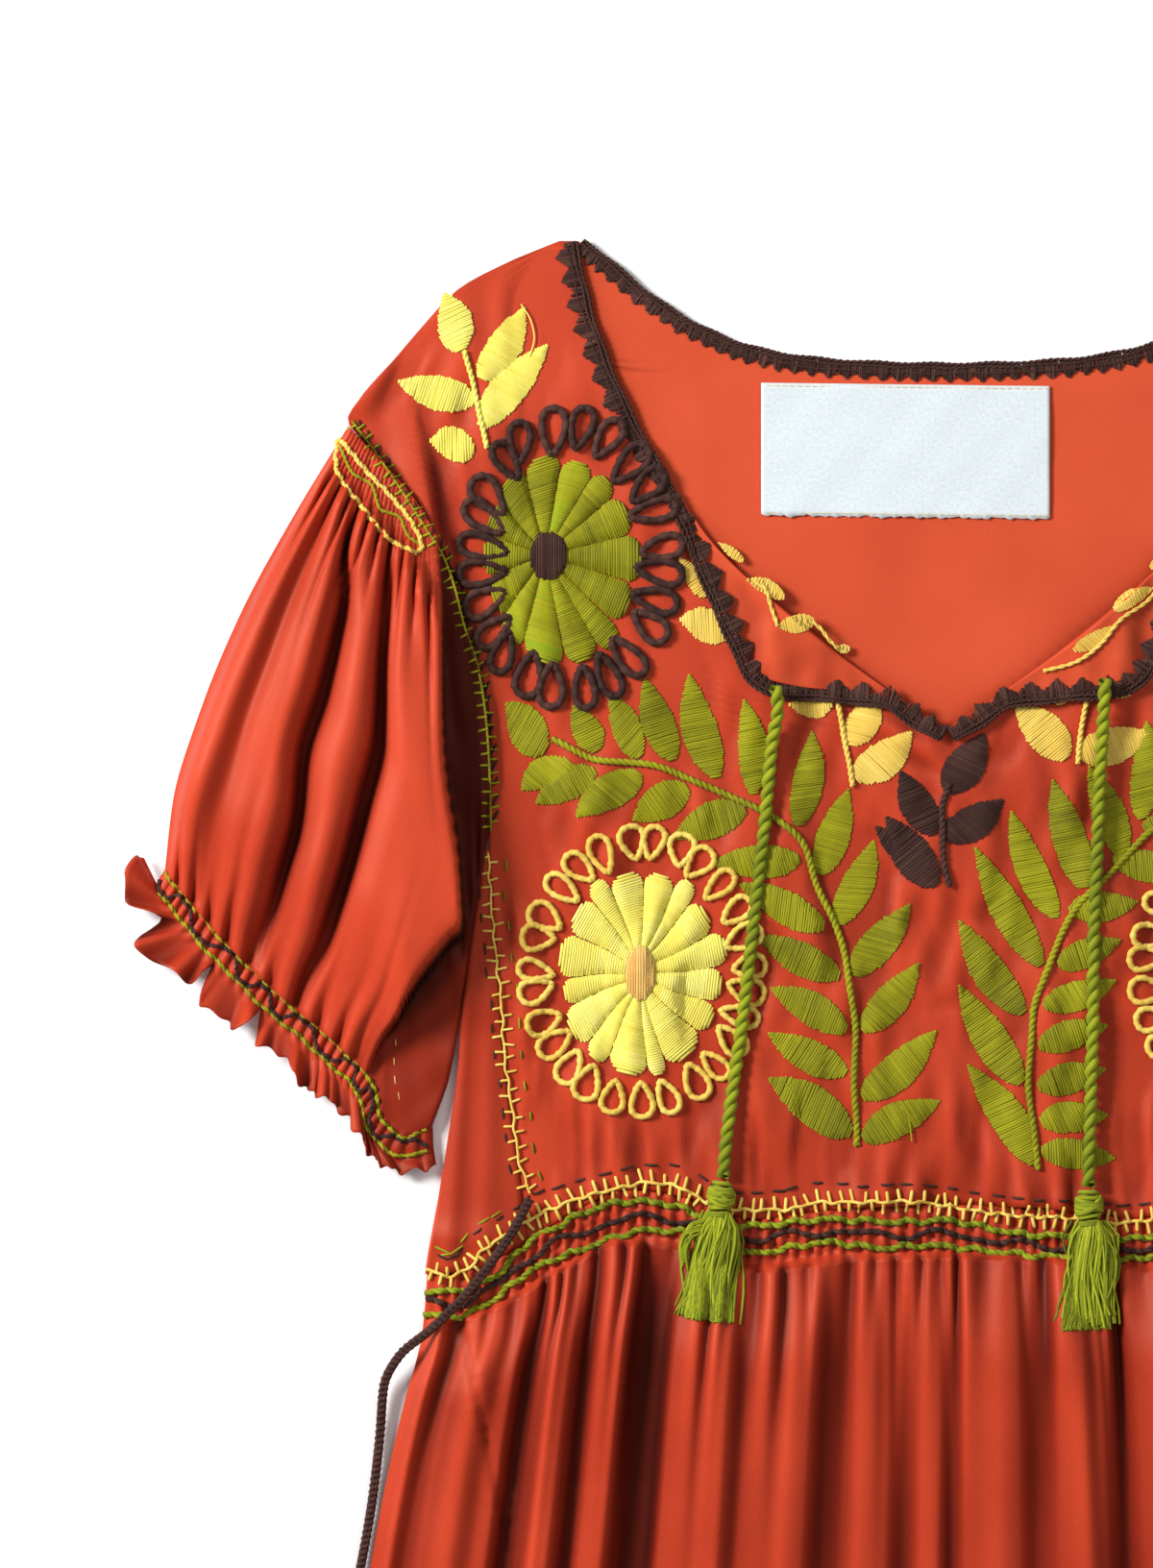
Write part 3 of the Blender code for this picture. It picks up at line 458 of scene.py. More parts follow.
CREASES = (
    (-2.0, 222.0, -5.0, 262.0, 10.0, -2.6), (14.0, 226.0, 12.0, 262.0, 6.0, 1.4), (-18.0, 224.0, -17.0, 258.0, 5.0, 1.3),
    (22.0, 232.0, 4.0, 238.0, 7.0, -1.1), (14.0, 262.0, -8.0, 268.0, 6.0, -0.9), (-60.0, 118.0, -72.0, 152.0, 6.0, -1.6),
    (-86.0, 142.0, -84.0, 160.0, 4.0, -1.6), (-79.0, 148.0, -76.0, 172.0, 3.5, 1.1), (-24.0, 168.0, -4.0, 180.0, 5.0, 1.5),
    (-16.0, 178.0, -2.0, 186.0, 4.0, -1.4), (24.0, 176.0, 9.0, 184.0, 5.0, -1.2), (-171.0, 66.0, -163.0, 112.0, 5.0, 1.2),
    (-190.0, 40.0, -206.0, 62.0, 8.0, 1.8), (-178.0, 34.0, -196.0, 58.0, 6.0, -1.4), (-150.0, 20.0, -141.0, 74.0, 7.0, -1.3),
    (-128.0, 60.0, -116.0, 84.0, 6.0, -0.9), (-164.0, 52.0, -176.0, 84.0, 6.0, -1.7), (-155.0, 214.0, -150.0, 250.0, 3.5, -1.7),
    (-137.0, 262.0, -139.0, 312.0, 5.0, -2.2), (-146.0, 270.0, -147.0, 318.0, 4.0, 1.3), (-20.0, 212.0, -22.0, 240.0, 4.0, -1.0),
    (-127.0, 296.0, -126.0, 330.0, 3.5, -1.9), (-116.0, 300.0, -117.0, 328.0, 3.0, 1.2), (-107.0, 306.0, -106.0, 330.0, 3.0, -1.7),
    (-88.0, 300.0, -90.0, 326.0, 4.0, -1.8), (-74.0, 292.0, -76.0, 330.0, 4.0, 1.5), (-66.0, 306.0, -66.0, 334.0, 3.0, -1.6),
    (-50.0, 300.0, -51.0, 330.0, 4.0, -1.4), (-36.0, 318.0, -36.0, 334.0, 3.0, 1.1), (-12.0, 284.0, -14.0, 326.0, 5.0, -1.5),
    (2.0, 290.0, 3.0, 330.0, 5.0, 1.5), (12.0, 300.0, 10.0, 330.0, 4.0, -1.7), (24.0, 316.0, 25.0, 336.0, 3.5, 1.2),
    (44.0, 322.0, 43.0, 338.0, 3.0, -1.5), (63.0, 128.0, 74.0, 160.0, 6.0, -0.8), (133.0, 24.0, 140.0, 76.0, 7.0, -1.2),
    (188.0, 42.0, 204.0, 62.0, 8.0, 1.6), (165.0, 70.0, 160.0, 116.0, 5.0, 1.1), (136.0, 264.0, 140.0, 310.0, 5.0, -2.0),
    (48.0, 206.0, 44.0, 262.0, 5.0, -0.9), (66.0, 292.0, 68.0, 330.0, 4.0, -1.6), (82.0, 300.0, 83.0, 330.0, 4.0, 1.4),
    (96.0, 300.0, 98.0, 328.0, 4.0, -1.8), (112.0, 304.0, 111.0, 328.0, 3.5, -1.5), (126.0, 298.0, 127.0, 330.0, 3.5, -1.7),
    (146.0, 270.0, 148.0, 318.0, 4.0, 1.3), (-58.0, 196.0, -66.0, 224.0, 5.0, -1.0), (-30.0, 240.0, -44.0, 262.0, 5.0, -0.9),
    (-152.0, 118.0, -148.0, 150.0, 4.0, -1.2), (152.0, 118.0, 148.0, 150.0, 4.0, -1.2),
)


def waist(across):
    return curve(WAIST, np.abs(across))


def bent(down, across):
    share = np.clip((down - WAIST_BEND_FROM) / (WAIST_MIDDLE - WAIST_BEND_FROM), 0, 1)
    return down + (waist(across) - WAIST_MIDDLE) * share


def crease_height(x, down):
    """Creases given one by one, rows of (x, down, x, down, half width, height)."""
    total = np.zeros(np.broadcast(x, down).shape)
    for x1, d1, x2, d2, wide, high in CREASES:
        long = math.hypot(x2 - x1, d2 - d1)
        along = ((x - x1) * (x2 - x1) + (down - d1) * (d2 - d1)) / long ** 2
        off = np.abs((x - x1) * (d2 - d1) - (down - d1) * (x2 - x1)) / long
        total = total + high * bump(off / wide) * bump((along - 0.5) / 0.85)
    return total


def pleat_lines(x, pitch, seed):
    """Uneven pleats side by side, 0 in the valleys and 1 on the crests."""
    draw = np.random.default_rng(seed)
    phase = 2 * math.pi * x / pitch
    for _ in range(5):
        phase = phase + 0.62 * np.sin(x / (pitch * draw.uniform(0.9, 3.4)) + draw.uniform(0, 6.28))
    return 0.5 + 0.5 * np.sin(phase)


def bodice_height(x, down):
    """The front bodice's cloth, over its rest, its soft shoulder fold, its gathers and its creases."""
    across = np.abs(x)
    outward = across - curve(SHOULDER_FOLD, down)
    shoulder = 6.4 * ease(outward / 4.0) * (1 - 0.75 * ease((outward - 3.0) / 26.0)) * bump((down - 92.0) / 58.0)
    loft = 1.2 * bump(across / 175.0) * bump((down - 250.0) / 190.0)
    above = waist(across) - down
    high = 1.0 - 0.45 * pleat_lines(x, 63.0, 5)
    gathers = pleat_lines(x + 0.05 * above, 11.5, 3) ** 1.3 * (
        1.9 * high * np.exp(-np.maximum(above, 0) / 26.0) + 0.25 * np.exp(-np.maximum(above, 0) / 80.0)
    )
    soft = 1.4 * ripple(x, down, 11, 10, 56.0, 24.0, 2.4) + 0.5 * ripple(x, down, 12, 12, 17.0, 8.0, 2.0)
    near_stitches = bump((down - 240.0) / 150.0)
    soft = soft * (0.75 + 0.6 * near_stitches) + 0.09 * ripple(x, down, 13, 12, 6.0, 3.0, 1.4) * near_stitches
    shirr = 0.55 * pleat_lines(x, 4.4, 8) * ease((10.0 - above) / 8.0)
    lifted = (shoulder + loft + gathers * ease((above + 3) / 6.0) + soft + shirr + crease_height(x, down))
    return FRONT_REST + 0.3 + np.maximum(lifted, -0.6)


# The front skirt's folds, rows of (across at the middle of the photo's lower edge, height), and further down.
SKIRT_FOLDS = (
    (-200.0, 0.0), (-195.0, 6.0), (-189.5, 3.0), (-183.0, 7.5), (-174.0, 9.5), (-166.0, 6.5), (-161.0, 7.5),
    (-155.0, 0.8), (-149.0, 5.0), (-144.0, 10.5), (-140.0, 10.5), (-136.5, 6.5), (-132.5, 2.5), (-127.5, 7.0),
    (-121.0, 9.0), (-116.0, 4.0), (-110.5, 0.3), (-105.5, 1.5), (-100.5, 11.5), (-92.0, 13.8), (-81.0, 14.6),
    (-74.0, 10.4), (-66.0, 11.0), (-58.0, 12.4), (-51.0, 11.0), (-44.0, 4.6), (-38.0, 3.6), (-30.0, 7.0), (-22.0, 5.8),
    (-15.0, 0.8), (-8.5, 6.5), (-3.5, 8.4), (1.5, 4.0), (7.0, 8.6), (18.0, 12.5), (25.0, 10.0), (31.5, 6.0),
    (40.0, 11.0), (49.0, 13.6), (56.0, 9.5), (62.0, 4.4), (70.0, 8.8), (82.0, 12.5), (94.0, 8.5), (101.0, 0.8),
    (107.5, 9.0), (118.0, 14.0), (127.0, 7.5), (133.0, 3.0), (141.0, 9.0), (150.0, 11.0), (157.0, 2.0), (164.0, 8.5),
    (176.0, 10.5), (186.0, 4.0), (193.0, 6.0), (200.0, 0.0),
)
SHIRRING = 15.5


def skirt_height(share, below, x):
    """The front skirt's cloth. share is -1 at one side edge and 1 at the other, below is from the waist seam."""
    sway = 0.012 * np.sin(below / 95.0 + 2.0 * share) * ease((below - 60.0) / 200.0)
    folds = curve(SKIRT_FOLDS, (share + sway) * 200.0)
    deeper = 1.0 + 0.12 * np.sin(below / 160.0 + 5 * share) * ease((below - 100.0) / 200.0)
    grown = ease((below - 2.0) / 54.0) * 0.90 + 0.10
    from_seam = np.maximum(below - SHIRRING, 0.0)
    across = share * 180.0 + 2.4 * np.sin(share * 19.0 + 1.0) + 1.5 * np.sin(share * 43.0)
    tight = 1 - (1 - pleat_lines(across, 8.8, 21)) ** 1.8
    looser = 1 - (1 - pleat_lines(across, 17.0, 22)) ** 2.0
    uneven = pleat_lines(across, 25.0, 28)
    fading = 6.0 + 15.0 * uneven
    gather = (2.4 + 2.8 * uneven) * tight * np.exp(-from_seam / fading) * (1 + from_seam / fading)
    gather = gather * (0.72 + 0.28 * looser) + 2.0 * looser * (from_seam / 32.0) * np.exp(1 - from_seam / 32.0)
    shirr = (1.7 * pleat_lines(share * 180.0, 4.6, 23) + 0.4 * ripple(x, below, 24, 6, 7.0, 3.0)) * ease((21 - below) / 9.0)
    soft = 0.5 * ripple(x, below, 25, 10, 120.0, 40.0, 3.0) * ease(below / 120.0)
    crease = -0.35 * bump((below - 96.0) / 1.6) * bump((x + 125.0) / 34.0)
    tail = ease((1 - np.abs(share)) / 0.035)
    off_seam = np.abs(x) - (171.0 - 0.155 * below)
    seam = 0.8 * pleat_lines(below, 7.0, 27) * bump(off_seam / 8.0) - 0.9 * bump(off_seam / 2.4)
    seam = seam * ease(below / 25.0) * ease((130.0 - below) / 30.0)
    at_seam = ease(from_seam / 2.6)
    raised = folds * grown * deeper * (0.15 + 0.85 * at_seam) + (gather + soft) * at_seam + shirr + crease + seam
    return FRONT_REST + 0.3 + np.maximum(raised, -0.4) * tail


def skirt_place(share, below):
    """(across, down) on the skirt."""
    down = WAIST_MIDDLE + below
    half = curve(SKIRT_EDGE, down)
    x = share * half
    drop = (waist(share * 180.0) - WAIST_MIDDLE) * (1 - ease(below / 125.0))
    return x, down + drop


def side_height(x, down):
    """The side panel's upper cloth, from its seam to the edge of the body."""
    across = np.abs(x)
    rise = (waist(across) - WAIST_MIDDLE) / (WAIST_MIDDLE - WAIST_BEND_FROM)
    row = np.where(down > WAIST_BEND_FROM, (down + rise * WAIST_BEND_FROM) / (1 + rise), down)
    seam = curve(OUTER_EDGE, row) + 0.2
    edge = curve(BODY_EDGE, bent(row, seam)) - 0.4
    t = np.arcsin(np.clip((across - seam) / np.maximum(edge - seam, 0.1), 0, 1)) * 2 / math.pi
    fold = 1.7 * pleat_lines(across + 0.06 * (WAIST_MIDDLE - row), 12.0, 41) ** 1.3
    top = bodice_height(np.sign(x) * seam, down) + (fold + 0.9) * np.sin(math.pi * t)
    return np.where(t < 0.9, top, 2.6 + (top - 2.6) * (1 - t) / 0.1)


def front_surface(x, down):
    """The front's cloth at a place, bodice, side panel or skirt."""
    x, down = np.broadcast_arrays(np.asarray(x, float), np.asarray(down, float))
    below = down - waist(x)
    half = curve(SKIRT_EDGE, WAIST_MIDDLE + np.maximum(below, 0))
    on_side = (np.abs(x) > curve(OUTER_EDGE, down)) & (down > 211.0)
    body = np.where(on_side, side_height(x, down), bodice_height(x, down))
    share = np.clip(x / half, -1, 1)
    return np.where(below < 0, body, skirt_height(share, np.maximum(below, 0), x))


def back_surface(x, down):
    return 1.4 + 0.22 * ripple(x, down, 31, 8, 60.0, 22.0, 1.4) * ease(np.abs(down - 45.0) / 14.0)


def front_bodice(cloth):
    """The front panel, split above the end of the neck opening."""
    rows = np.unique(np.concatenate([np.linspace(1.5, 170.0, 62), np.linspace(170.0, WAIST_MIDDLE, 80)]))
    columns = 108
    share = 1 - (1 - np.linspace(0, 1, columns)) ** 1.15
    inner = np.where(rows < 170.0, curve(FRONT_OPENING, rows), 0.0)[:, None]
    half = inner + (curve(OUTER_EDGE, rows)[:, None] - inner) * share
    across = np.concatenate([-half[:, ::-1], half], 1)
    down = bent(rows[:, None], across)
    # painted shade on the bodice's edge by the armhole, where the sleeve's fold shades it
    armhole_shade = 10.5 * ease((np.abs(across) - 157.5) / 9.0) * bump((down - 165.0) / 84.0)
    made = shell(
        "front_bodice_cloth", across, down, bodice_height(across, down), cloth, gap=columns - 1, folds=(3, 7),
        shadow=armhole_shade,
    )
    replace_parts(made, "front_bodice")
    return made


def back_bodice(cloth):
    rows = np.linspace(1.0, WAIST_MIDDLE, 110)
    columns = 76
    inner = np.where(rows < 45.3, curve(BACK_OPENING, rows), 0.0)[:, None]
    half = inner + (curve(OUTER_EDGE, rows)[:, None] - inner) * np.linspace(0, 1, columns)
    across = np.concatenate([-half[:, ::-1], half], 1)
    down = bent(rows[:, None], across)
    z = back_surface(across, down) - 0.2
    inside = curve(FRONT_OPENING, down) - np.abs(across)
    shade = 5.0 * np.exp(-np.maximum(inside, 0) / 4.5) * bump((down - 30.0) / 60.0) + 1.7 * np.exp(-np.maximum(inside, 0) / 3.0)
    shade = shade + 1.9 * np.exp(-np.maximum(inside, 0) / 7.0) * ease((down - 88.0) / 20.0)
    made = shell(
        "back_bodice_cloth", across, down, z, cloth, gap=columns - 1, wall=0.9, folds=(2, 3), shadow=shade,
    )
    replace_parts(made, "back_bodice")


def side_panels(cloth):
    """The side panels, from the front side seam round the edge of the body to the back."""
    for word, side in SIDES.items():
        rows = np.linspace(212.0, WAIST_MIDDLE, 60)
        seam = curve(OUTER_EDGE, rows) + 0.2
        edge = curve(BODY_EDGE, bent(rows, seam)) - 0.4
        wide = (edge - seam)[:, None]
        t = np.linspace(0, 1, 22)[None]
        over = seam[:, None] + wide * np.sin(0.5 * math.pi * t)
        down = bent(rows[:, None], over)
        z = side_height(side * over, down)
        back = np.linspace(0.98, 0, 8)[None]
        under = seam[:, None] + wide * back
        across = np.concatenate([over, under], 1)
        down = np.concatenate([down, bent(rows[:, None], under)], 1)
        z = np.concatenate([z, np.where(back > 0.9, 1.6, 1.0) + 0 * under], 1)
        name = f"side_panel_{word}"
        shown = np.where(np.arange(across.shape[1]) < 19, 1.0, 0.0)[None, :] * np.ones(across.shape)
        made = shell(
            name + "_cloth", side * across, down, z, cloth, wall=0.4, flip=side > 0, folds=(3, 6), shaded=shown,
            shadow=2.4 * shown,
        )
        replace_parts(made, name)


def skirt_panels(cloth):
    share = np.linspace(-1, 1, 400)
    below = np.concatenate([np.linspace(0, 22, 17), np.linspace(22, 150, 41)[1:], np.linspace(150, 625, 24)[1:]])
    grid_share, grid_below = np.meshgrid(share, below)
    x, down = skirt_place(grid_share, grid_below)
    down = np.minimum(down, LENGTH)
    z = skirt_height(grid_share, grid_below, x)
    shown = 0.9 * ease((0.995 - np.abs(grid_share)) / 0.06)
    made = shell("front_skirt_cloth", x, down, z, cloth, folds=(4, 13), shaded=shown)
    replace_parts(made, "front_skirt")
    share = np.linspace(-1, 1, 60)
    grid_share, grid_below = np.meshgrid(share, np.linspace(0, 625, 50))
    x, down = skirt_place(grid_share, grid_below)
    z = 0.9 + 0.12 * ripple(x, down, 33, 8, 90.0, 30.0, 3.0) + 0.0 * x
    made = shell("back_skirt_cloth", x, np.minimum(down, LENGTH), z, cloth, wall=0.6)
    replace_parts(made, "back_skirt")


# ---- sleeves ----

ARMHOLE = ((0.0, 65.5), (0.2, 74.0), (0.4, 83.5), (0.6, 95.0), (0.7, 104.0), (0.8, 122.0), (0.9, 155.0), (1.0, 207.0))
CUFF = (
    (0.0, 270.5, 219.0), (0.2, 252.5, 240.5), (0.4, 232.5, 260.5), (0.6, 211.5, 278.5), (0.75, 199.0, 292.0),
    (0.85, 194.5, 305.5), (0.93, 187.0, 311.0), (1.0, 178.5, 307.5),
)
SLEEVE_OUTER = (
    (0.0, 208.5, 65.5), (0.07, 215.5, 77.0), (0.2, 226.5, 95.5), (0.4, 245.0, 130.0), (0.6, 258.5, 163.0),
    (0.8, 268.0, 195.0), (1.0, 270.5, 219.0),
)
SLEEVE_INNER = (
    (0.0, 159.4, 207.0), (0.2, 163.0, 228.0), (0.45, 166.4, 251.0), (0.7, 169.6, 274.0), (0.85, 172.8, 291.0),
    (1.0, 178.5, 307.5),
)
PUFF = ((0.0, 7.0), (0.06, 8.0), (0.18, 15.0), (0.42, 22.0), (0.68, 22.0), (0.88, 12.5), (1.0, 4.5))
FOLD_EDGE = (
    (0.0, 0.70), (0.09, 0.765), (0.27, 0.865), (0.38, 0.94), (0.43, 0.96), (0.54, 0.93), (0.71, 0.87), (0.82, 0.82),
    (0.94, 0.745), (1.0, 0.72),
)
FOLD_LEAN = ((0.0, 0.12), (0.15, 0.09), (0.28, -0.01), (0.5, 0.01), (0.7, -0.05), (1.0, -0.05))
# The sleeve's largest folds, rows of (share across, height), 1 being its full height there.
SLEEVE_FOLDS = (
    (0.0, 0.0), (0.03, 0.62), (0.10, 0.90), (0.17, 0.74), (0.23, 0.92), (0.30, 1.0), (0.36, 0.82), (0.395, 0.40),
    (0.415, 0.38), (0.46, 0.80), (0.53, 0.98), (0.595, 0.84), (0.635, 0.36), (0.66, 0.34), (0.705, 0.84), (0.78, 0.98),
    (0.90, 1.0), (0.97, 0.99), (1.0, 0.93),
)
CUFF_BAND = 8.0
RUFFLE = 13.5
# The ruffle's edge, rows of (share along the cuff, across, down, height), with a notch between frills.
RUFFLE_EDGE = (
    (0.0, 278.3, 215.0, 2.0), (0.02, 280.7, 214.3, 4.0), (0.045, 284.7, 220.7, 7.4), (0.07, 283.7, 228.7, 4.4),
    (0.09, 275.7, 234.3, 6.0), (0.10, 272.3, 236.7, 1.6), (0.115, 279.7, 242.3, 3.6), (0.13, 281.0, 244.7, 7.6),
    (0.15, 277.0, 249.3, 3.0), (0.18, 268.3, 254.0, 7.0), (0.21, 260.7, 257.7, 4.0), (0.225, 257.7, 254.7, 5.4),
    (0.235, 254.7, 252.7, 1.6), (0.25, 258.7, 262.7, 5.4), (0.27, 257.7, 265.3, 7.8), (0.31, 249.0, 272.0, 2.8),
    (0.345, 245.0, 273.7, 7.4), (0.375, 239.0, 268.7, 4.6), (0.39, 237.7, 267.3, 1.6), (0.41, 239.0, 279.3, 6.4),
    (0.46, 231.0, 282.3, 3.0), (0.50, 226.7, 288.0, 7.2), (0.55, 221.7, 295.3, 3.2), (0.60, 216.3, 297.3, 6.8),
    (0.67, 209.0, 303.7, 2.4), (0.73, 204.0, 309.7, 5.8), (0.80, 199.3, 318.3, 2.2), (0.86, 194.3, 321.7, 4.4),
    (0.92, 188.3, 323.7, 2.4), (0.96, 181.7, 323.0, 3.4), (1.0, 177.3, 321.3, 1.4),
)


def sleeve_place(along, share):
    """(across, down) on the sleeve, on a patch between its four edges."""
    hole_down = curve(ARMHOLE, share)
    hole = np.stack([curve(OUTER_EDGE, hole_down) + 0.35, hole_down], -1)
    cuff = np.stack([curve(CUFF, share, k) for k in (1, 2)], -1)
    outer = np.stack([curve(SLEEVE_OUTER, along, k) for k in (1, 2)], -1)
    inner = np.stack([curve(SLEEVE_INNER, along, k) for k in (1, 2)], -1)
    corners = [np.array(rows[i][1:], float) for rows, i in ((SLEEVE_OUTER, 0), (SLEEVE_INNER, 0), (CUFF, 0), (CUFF, -1))]
    s, t = along[..., None], share[..., None]
    ruled = (1 - s) * hole + s * cuff + (1 - t) * outer + t * inner
    return ruled - (1 - s) * ((1 - t) * corners[0] + t * corners[1]) - s * ((1 - t) * corners[2] + t * corners[3])


def sleeve_height(along, share):
    """The upper cloth's height: large folds that fan out of the gathered head and close again at the cuff."""
    edge = curve(FOLD_EDGE, along)
    over = share / edge
    lean = curve(FOLD_LEAN, along) * bump((over - 0.40) / 0.30)
    folds = curve(SLEEVE_FOLDS, np.clip(over + lean, 0, 1))
    blunt = 0.2 + 0.8 * ease((along - 0.05) / 0.13) - 0.45 * np.exp(-(1 - along) / 0.07)
    body = curve(PUFF, along) * (1 - (1 - folds) * np.clip(blunt, 0.2, 1)) * ease(over / 0.05)
    puckers = 0.8 * pleat_lines(over * 100.0, 3.6, 51) * ease((0.15 - along) / 0.07)
    gathered = 1 - (1 - pleat_lines(over * 100.0, 9.5, 55)) ** 2.2
    fading = np.exp(-np.maximum(along - 0.12, 0) / (0.035 + 0.085 * pleat_lines(over * 100.0, 31.0, 56)))
    head = (puckers + 5.0 * gathered * ease((along - 0.06) / 0.05) * fading) * ease(over / 0.05)
    drawn_in = 1 - (1 - pleat_lines(over * 100.0 + 9 * (1 - along), 9.4, 52)) ** 1.8
    short = 0.05 + 0.09 * pleat_lines(over * 100.0, 27.0, 57)
    wrist = drawn_in * 4.8 * np.exp(-(1 - along) / short) * ease((0.97 - over) / 0.1)
    soft = 0.5 * ripple(share * 95, along * 150, 53, 9, 60.0, 18.0, 2.6) * np.sin(math.pi * np.clip(along, 0, 1))
    under = 2.0 + 1.5 * (1 - along) + 0.4 * ripple(share * 95, along * 150, 54, 8, 20.0, 8.0, 1.5)
    turned = ease((over - 0.992) / 0.014)
    high = (body + head + wrist * ease(over / 0.05) + soft) * (1 - turned) + under * turned
    return np.maximum(high, 0.6) * ease((1.02 - share) / 0.03) + 0.6


def sleeve_shadow(along, share):
    """How deep the cloth beyond the fold's edge lies in its shade."""
    over = share / curve(FOLD_EDGE, along)
    return ease((over - 0.998) / 0.014) * (11.5 - 6.0 * ease((along - 0.36) / 0.14))


def cuff_frame(share):
    """The cuff's line and the way out of it, for the elastic band and the ruffle."""
    middle = np.stack([curve(CUFF, share, k) for k in (1, 2)], -1)
    ahead = np.stack([curve(CUFF, np.minimum(share + 0.02, 1), k) for k in (1, 2)], -1)
    behind = np.stack([curve(CUFF, np.maximum(share - 0.02, 0), k) for k in (1, 2)], -1)
    along = ahead - behind
    along = along / np.linalg.norm(along, axis=-1)[..., None]
    turned = np.stack([along[..., 1], -along[..., 0]], -1)
    mixed = turned * 0.45 + np.array([0.30, 0.95]) * 0.55
    return middle, mixed / np.linalg.norm(mixed, axis=-1)[..., None], along


def cuff_surface(share, reach):
    """(across, down, height) on the band and ruffle. reach is the distance past the elastic's upper edge."""
    middle, out, _ = cuff_frame(share)
    beyond = np.clip((reach - CUFF_BAND) / RUFFLE, 0, 1)
    inside = ease(share / 0.03) * ease((1 - share) / 0.03)
    frill = beyond ** 0.8 * (curve(RUFFLE_EDGE, share, 3) + 1.0 * np.sin(150 * share + 2 * np.sin(31 * share)))
    shirr = 1.5 * pleat_lines(share * 118.0, 3.6, 61) * ease((CUFF_BAND + 4 - reach) / 6.0)
    height = 2.6 + inside * (frill + shirr) + 0.9 * inside * bump((reach - 0.5 * CUFF_BAND) / CUFF_BAND)
    places = middle + out * np.minimum(reach, CUFF_BAND)[..., None]
    edge = np.stack([curve(RUFFLE_EDGE, share, k) for k in (1, 2)], -1)
    places = places + (edge - places) * beyond[..., None]
    crimp = 0.8 * np.sin(97 * share + 1.0) + 0.6 * np.sin(171 * share + 2 * np.sin(23 * share))
    places = places + out * (inside * beyond * crimp)[..., None]
    return places, height


def sleeves(cloth):
    for word, side in SIDES.items():
        share = np.concatenate([[0.0, 0.006, 0.012], np.linspace(0.02, 0.985, 210), [0.993, 1.0]])
        along = np.concatenate([np.linspace(0, 0.2, 16), np.linspace(0.2, 0.8, 32)[1:], np.linspace(0.8, 1, 16)[1:]])
        s, t = np.meshgrid(along, share, indexing="ij")
        top = sleeve_place(s, t)
        z_top = sleeve_height(s, t) + BACK_MIDDLE + 0.9
        reach = np.concatenate([np.linspace(0.6, CUFF_BAND, 7), np.linspace(CUFF_BAND, CUFF_BAND + RUFFLE, 11)[1:]])
        r, t2 = np.meshgrid(reach, share, indexing="ij")
        lower, z_lower = cuff_surface(t2, r)
        over = np.concatenate([top, lower])
        z = np.concatenate([z_top, z_lower])
        under_share = np.linspace(1.0, 0.0, 14)[1:-1]
        s, t = np.meshgrid(along, under_share, indexing="ij")
        under = sleeve_place(s, t)
        r, t2 = np.meshgrid(reach, under_share, indexing="ij")
        lower, _ = cuff_surface(t2, CUFF_BAND + 0.12 * (r - CUFF_BAND) * (r > CUFF_BAND) + np.minimum(r - CUFF_BAND, 0))
        under = np.concatenate([under, lower])
        z_under = np.full(under.shape[:2], 0.75)
        x = np.concatenate([over[..., 0], under[..., 0]], 1) * side
        down = np.concatenate([over[..., 1], under[..., 1]], 1)
        z = np.concatenate([z, z_under], 1)
        name = f"sleeve_{word}"
        shown = np.zeros(x.shape)
        shown[:, :len(share)] = ease(share / 0.10) * ease((1.02 - share) / 0.04)
        shown = shown * np.where(np.arange(len(x)) < len(along), 0.72, 1.3)[:, None]
        shadow = np.zeros(x.shape)
        shadow[:len(along), :len(share)] = sleeve_shadow(*np.meshgrid(along, share, indexing="ij"))
        shadow[len(along):, :len(share)] = 4.5 * ease((share - 0.70) / 0.06)
        made = shell(
            name + "_cloth", x, down, z, cloth, closed=True, wall=0.4, flip=side < 0, folds=(3, 10), shaded=shown,
            shadow=shadow,
        )
        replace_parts(made, name)


# ---- the neck: turned-back corners, crocheted edging and label ----

LAPEL = (
    (0.0, 91.5, 91.0, 94.5, 93.0), (0.15, 82.0, 104.5, 88.5, 106.0), (0.35, 66.0, 120.5, 79.0, 127.0),
    (0.55, 51.0, 133.0, 68.0, 150.5), (0.7, 38.0, 143.5, 52.0, 155.5), (0.85, 22.0, 155.5, 30.0, 158.0),
    (1.0, 9.0, 164.5, 10.5, 167.0),
)
FRONT_TRIM = (
    (0.0, 130.5, 1.8, -1.0), (0.12, 124.5, 27.7, -1.0), (0.24, 114.5, 54.3, -1.0), (0.35, 100.5, 81.0, -0.4),
    (0.42, 92.5, 95.0, 0.3), (0.50, 84.5, 115.0, 1.0), (0.60, 74.5, 138.0, 1.0), (0.68, 67.0, 152.5, 0.9),
    (0.72, 60.0, 157.0, 0.9), (0.80, 42.0, 158.5, 1.0), (0.89, 21.0, 161.0, 1.0), (0.95, 9.5, 168.5, 0.8),
    (1.0, 1.6, 172.3, 0.5),
)
BACK_TRIM = (
    (0.0, 0.0, 45.8), (0.15, 22.0, 45.3), (0.3, 45.0, 43.8), (0.45, 66.0, 40.2), (0.6, 84.0, 33.4),
    (0.75, 102.0, 22.5), (0.9, 119.0, 8.5), (1.0, 127.0, 2.6),
)


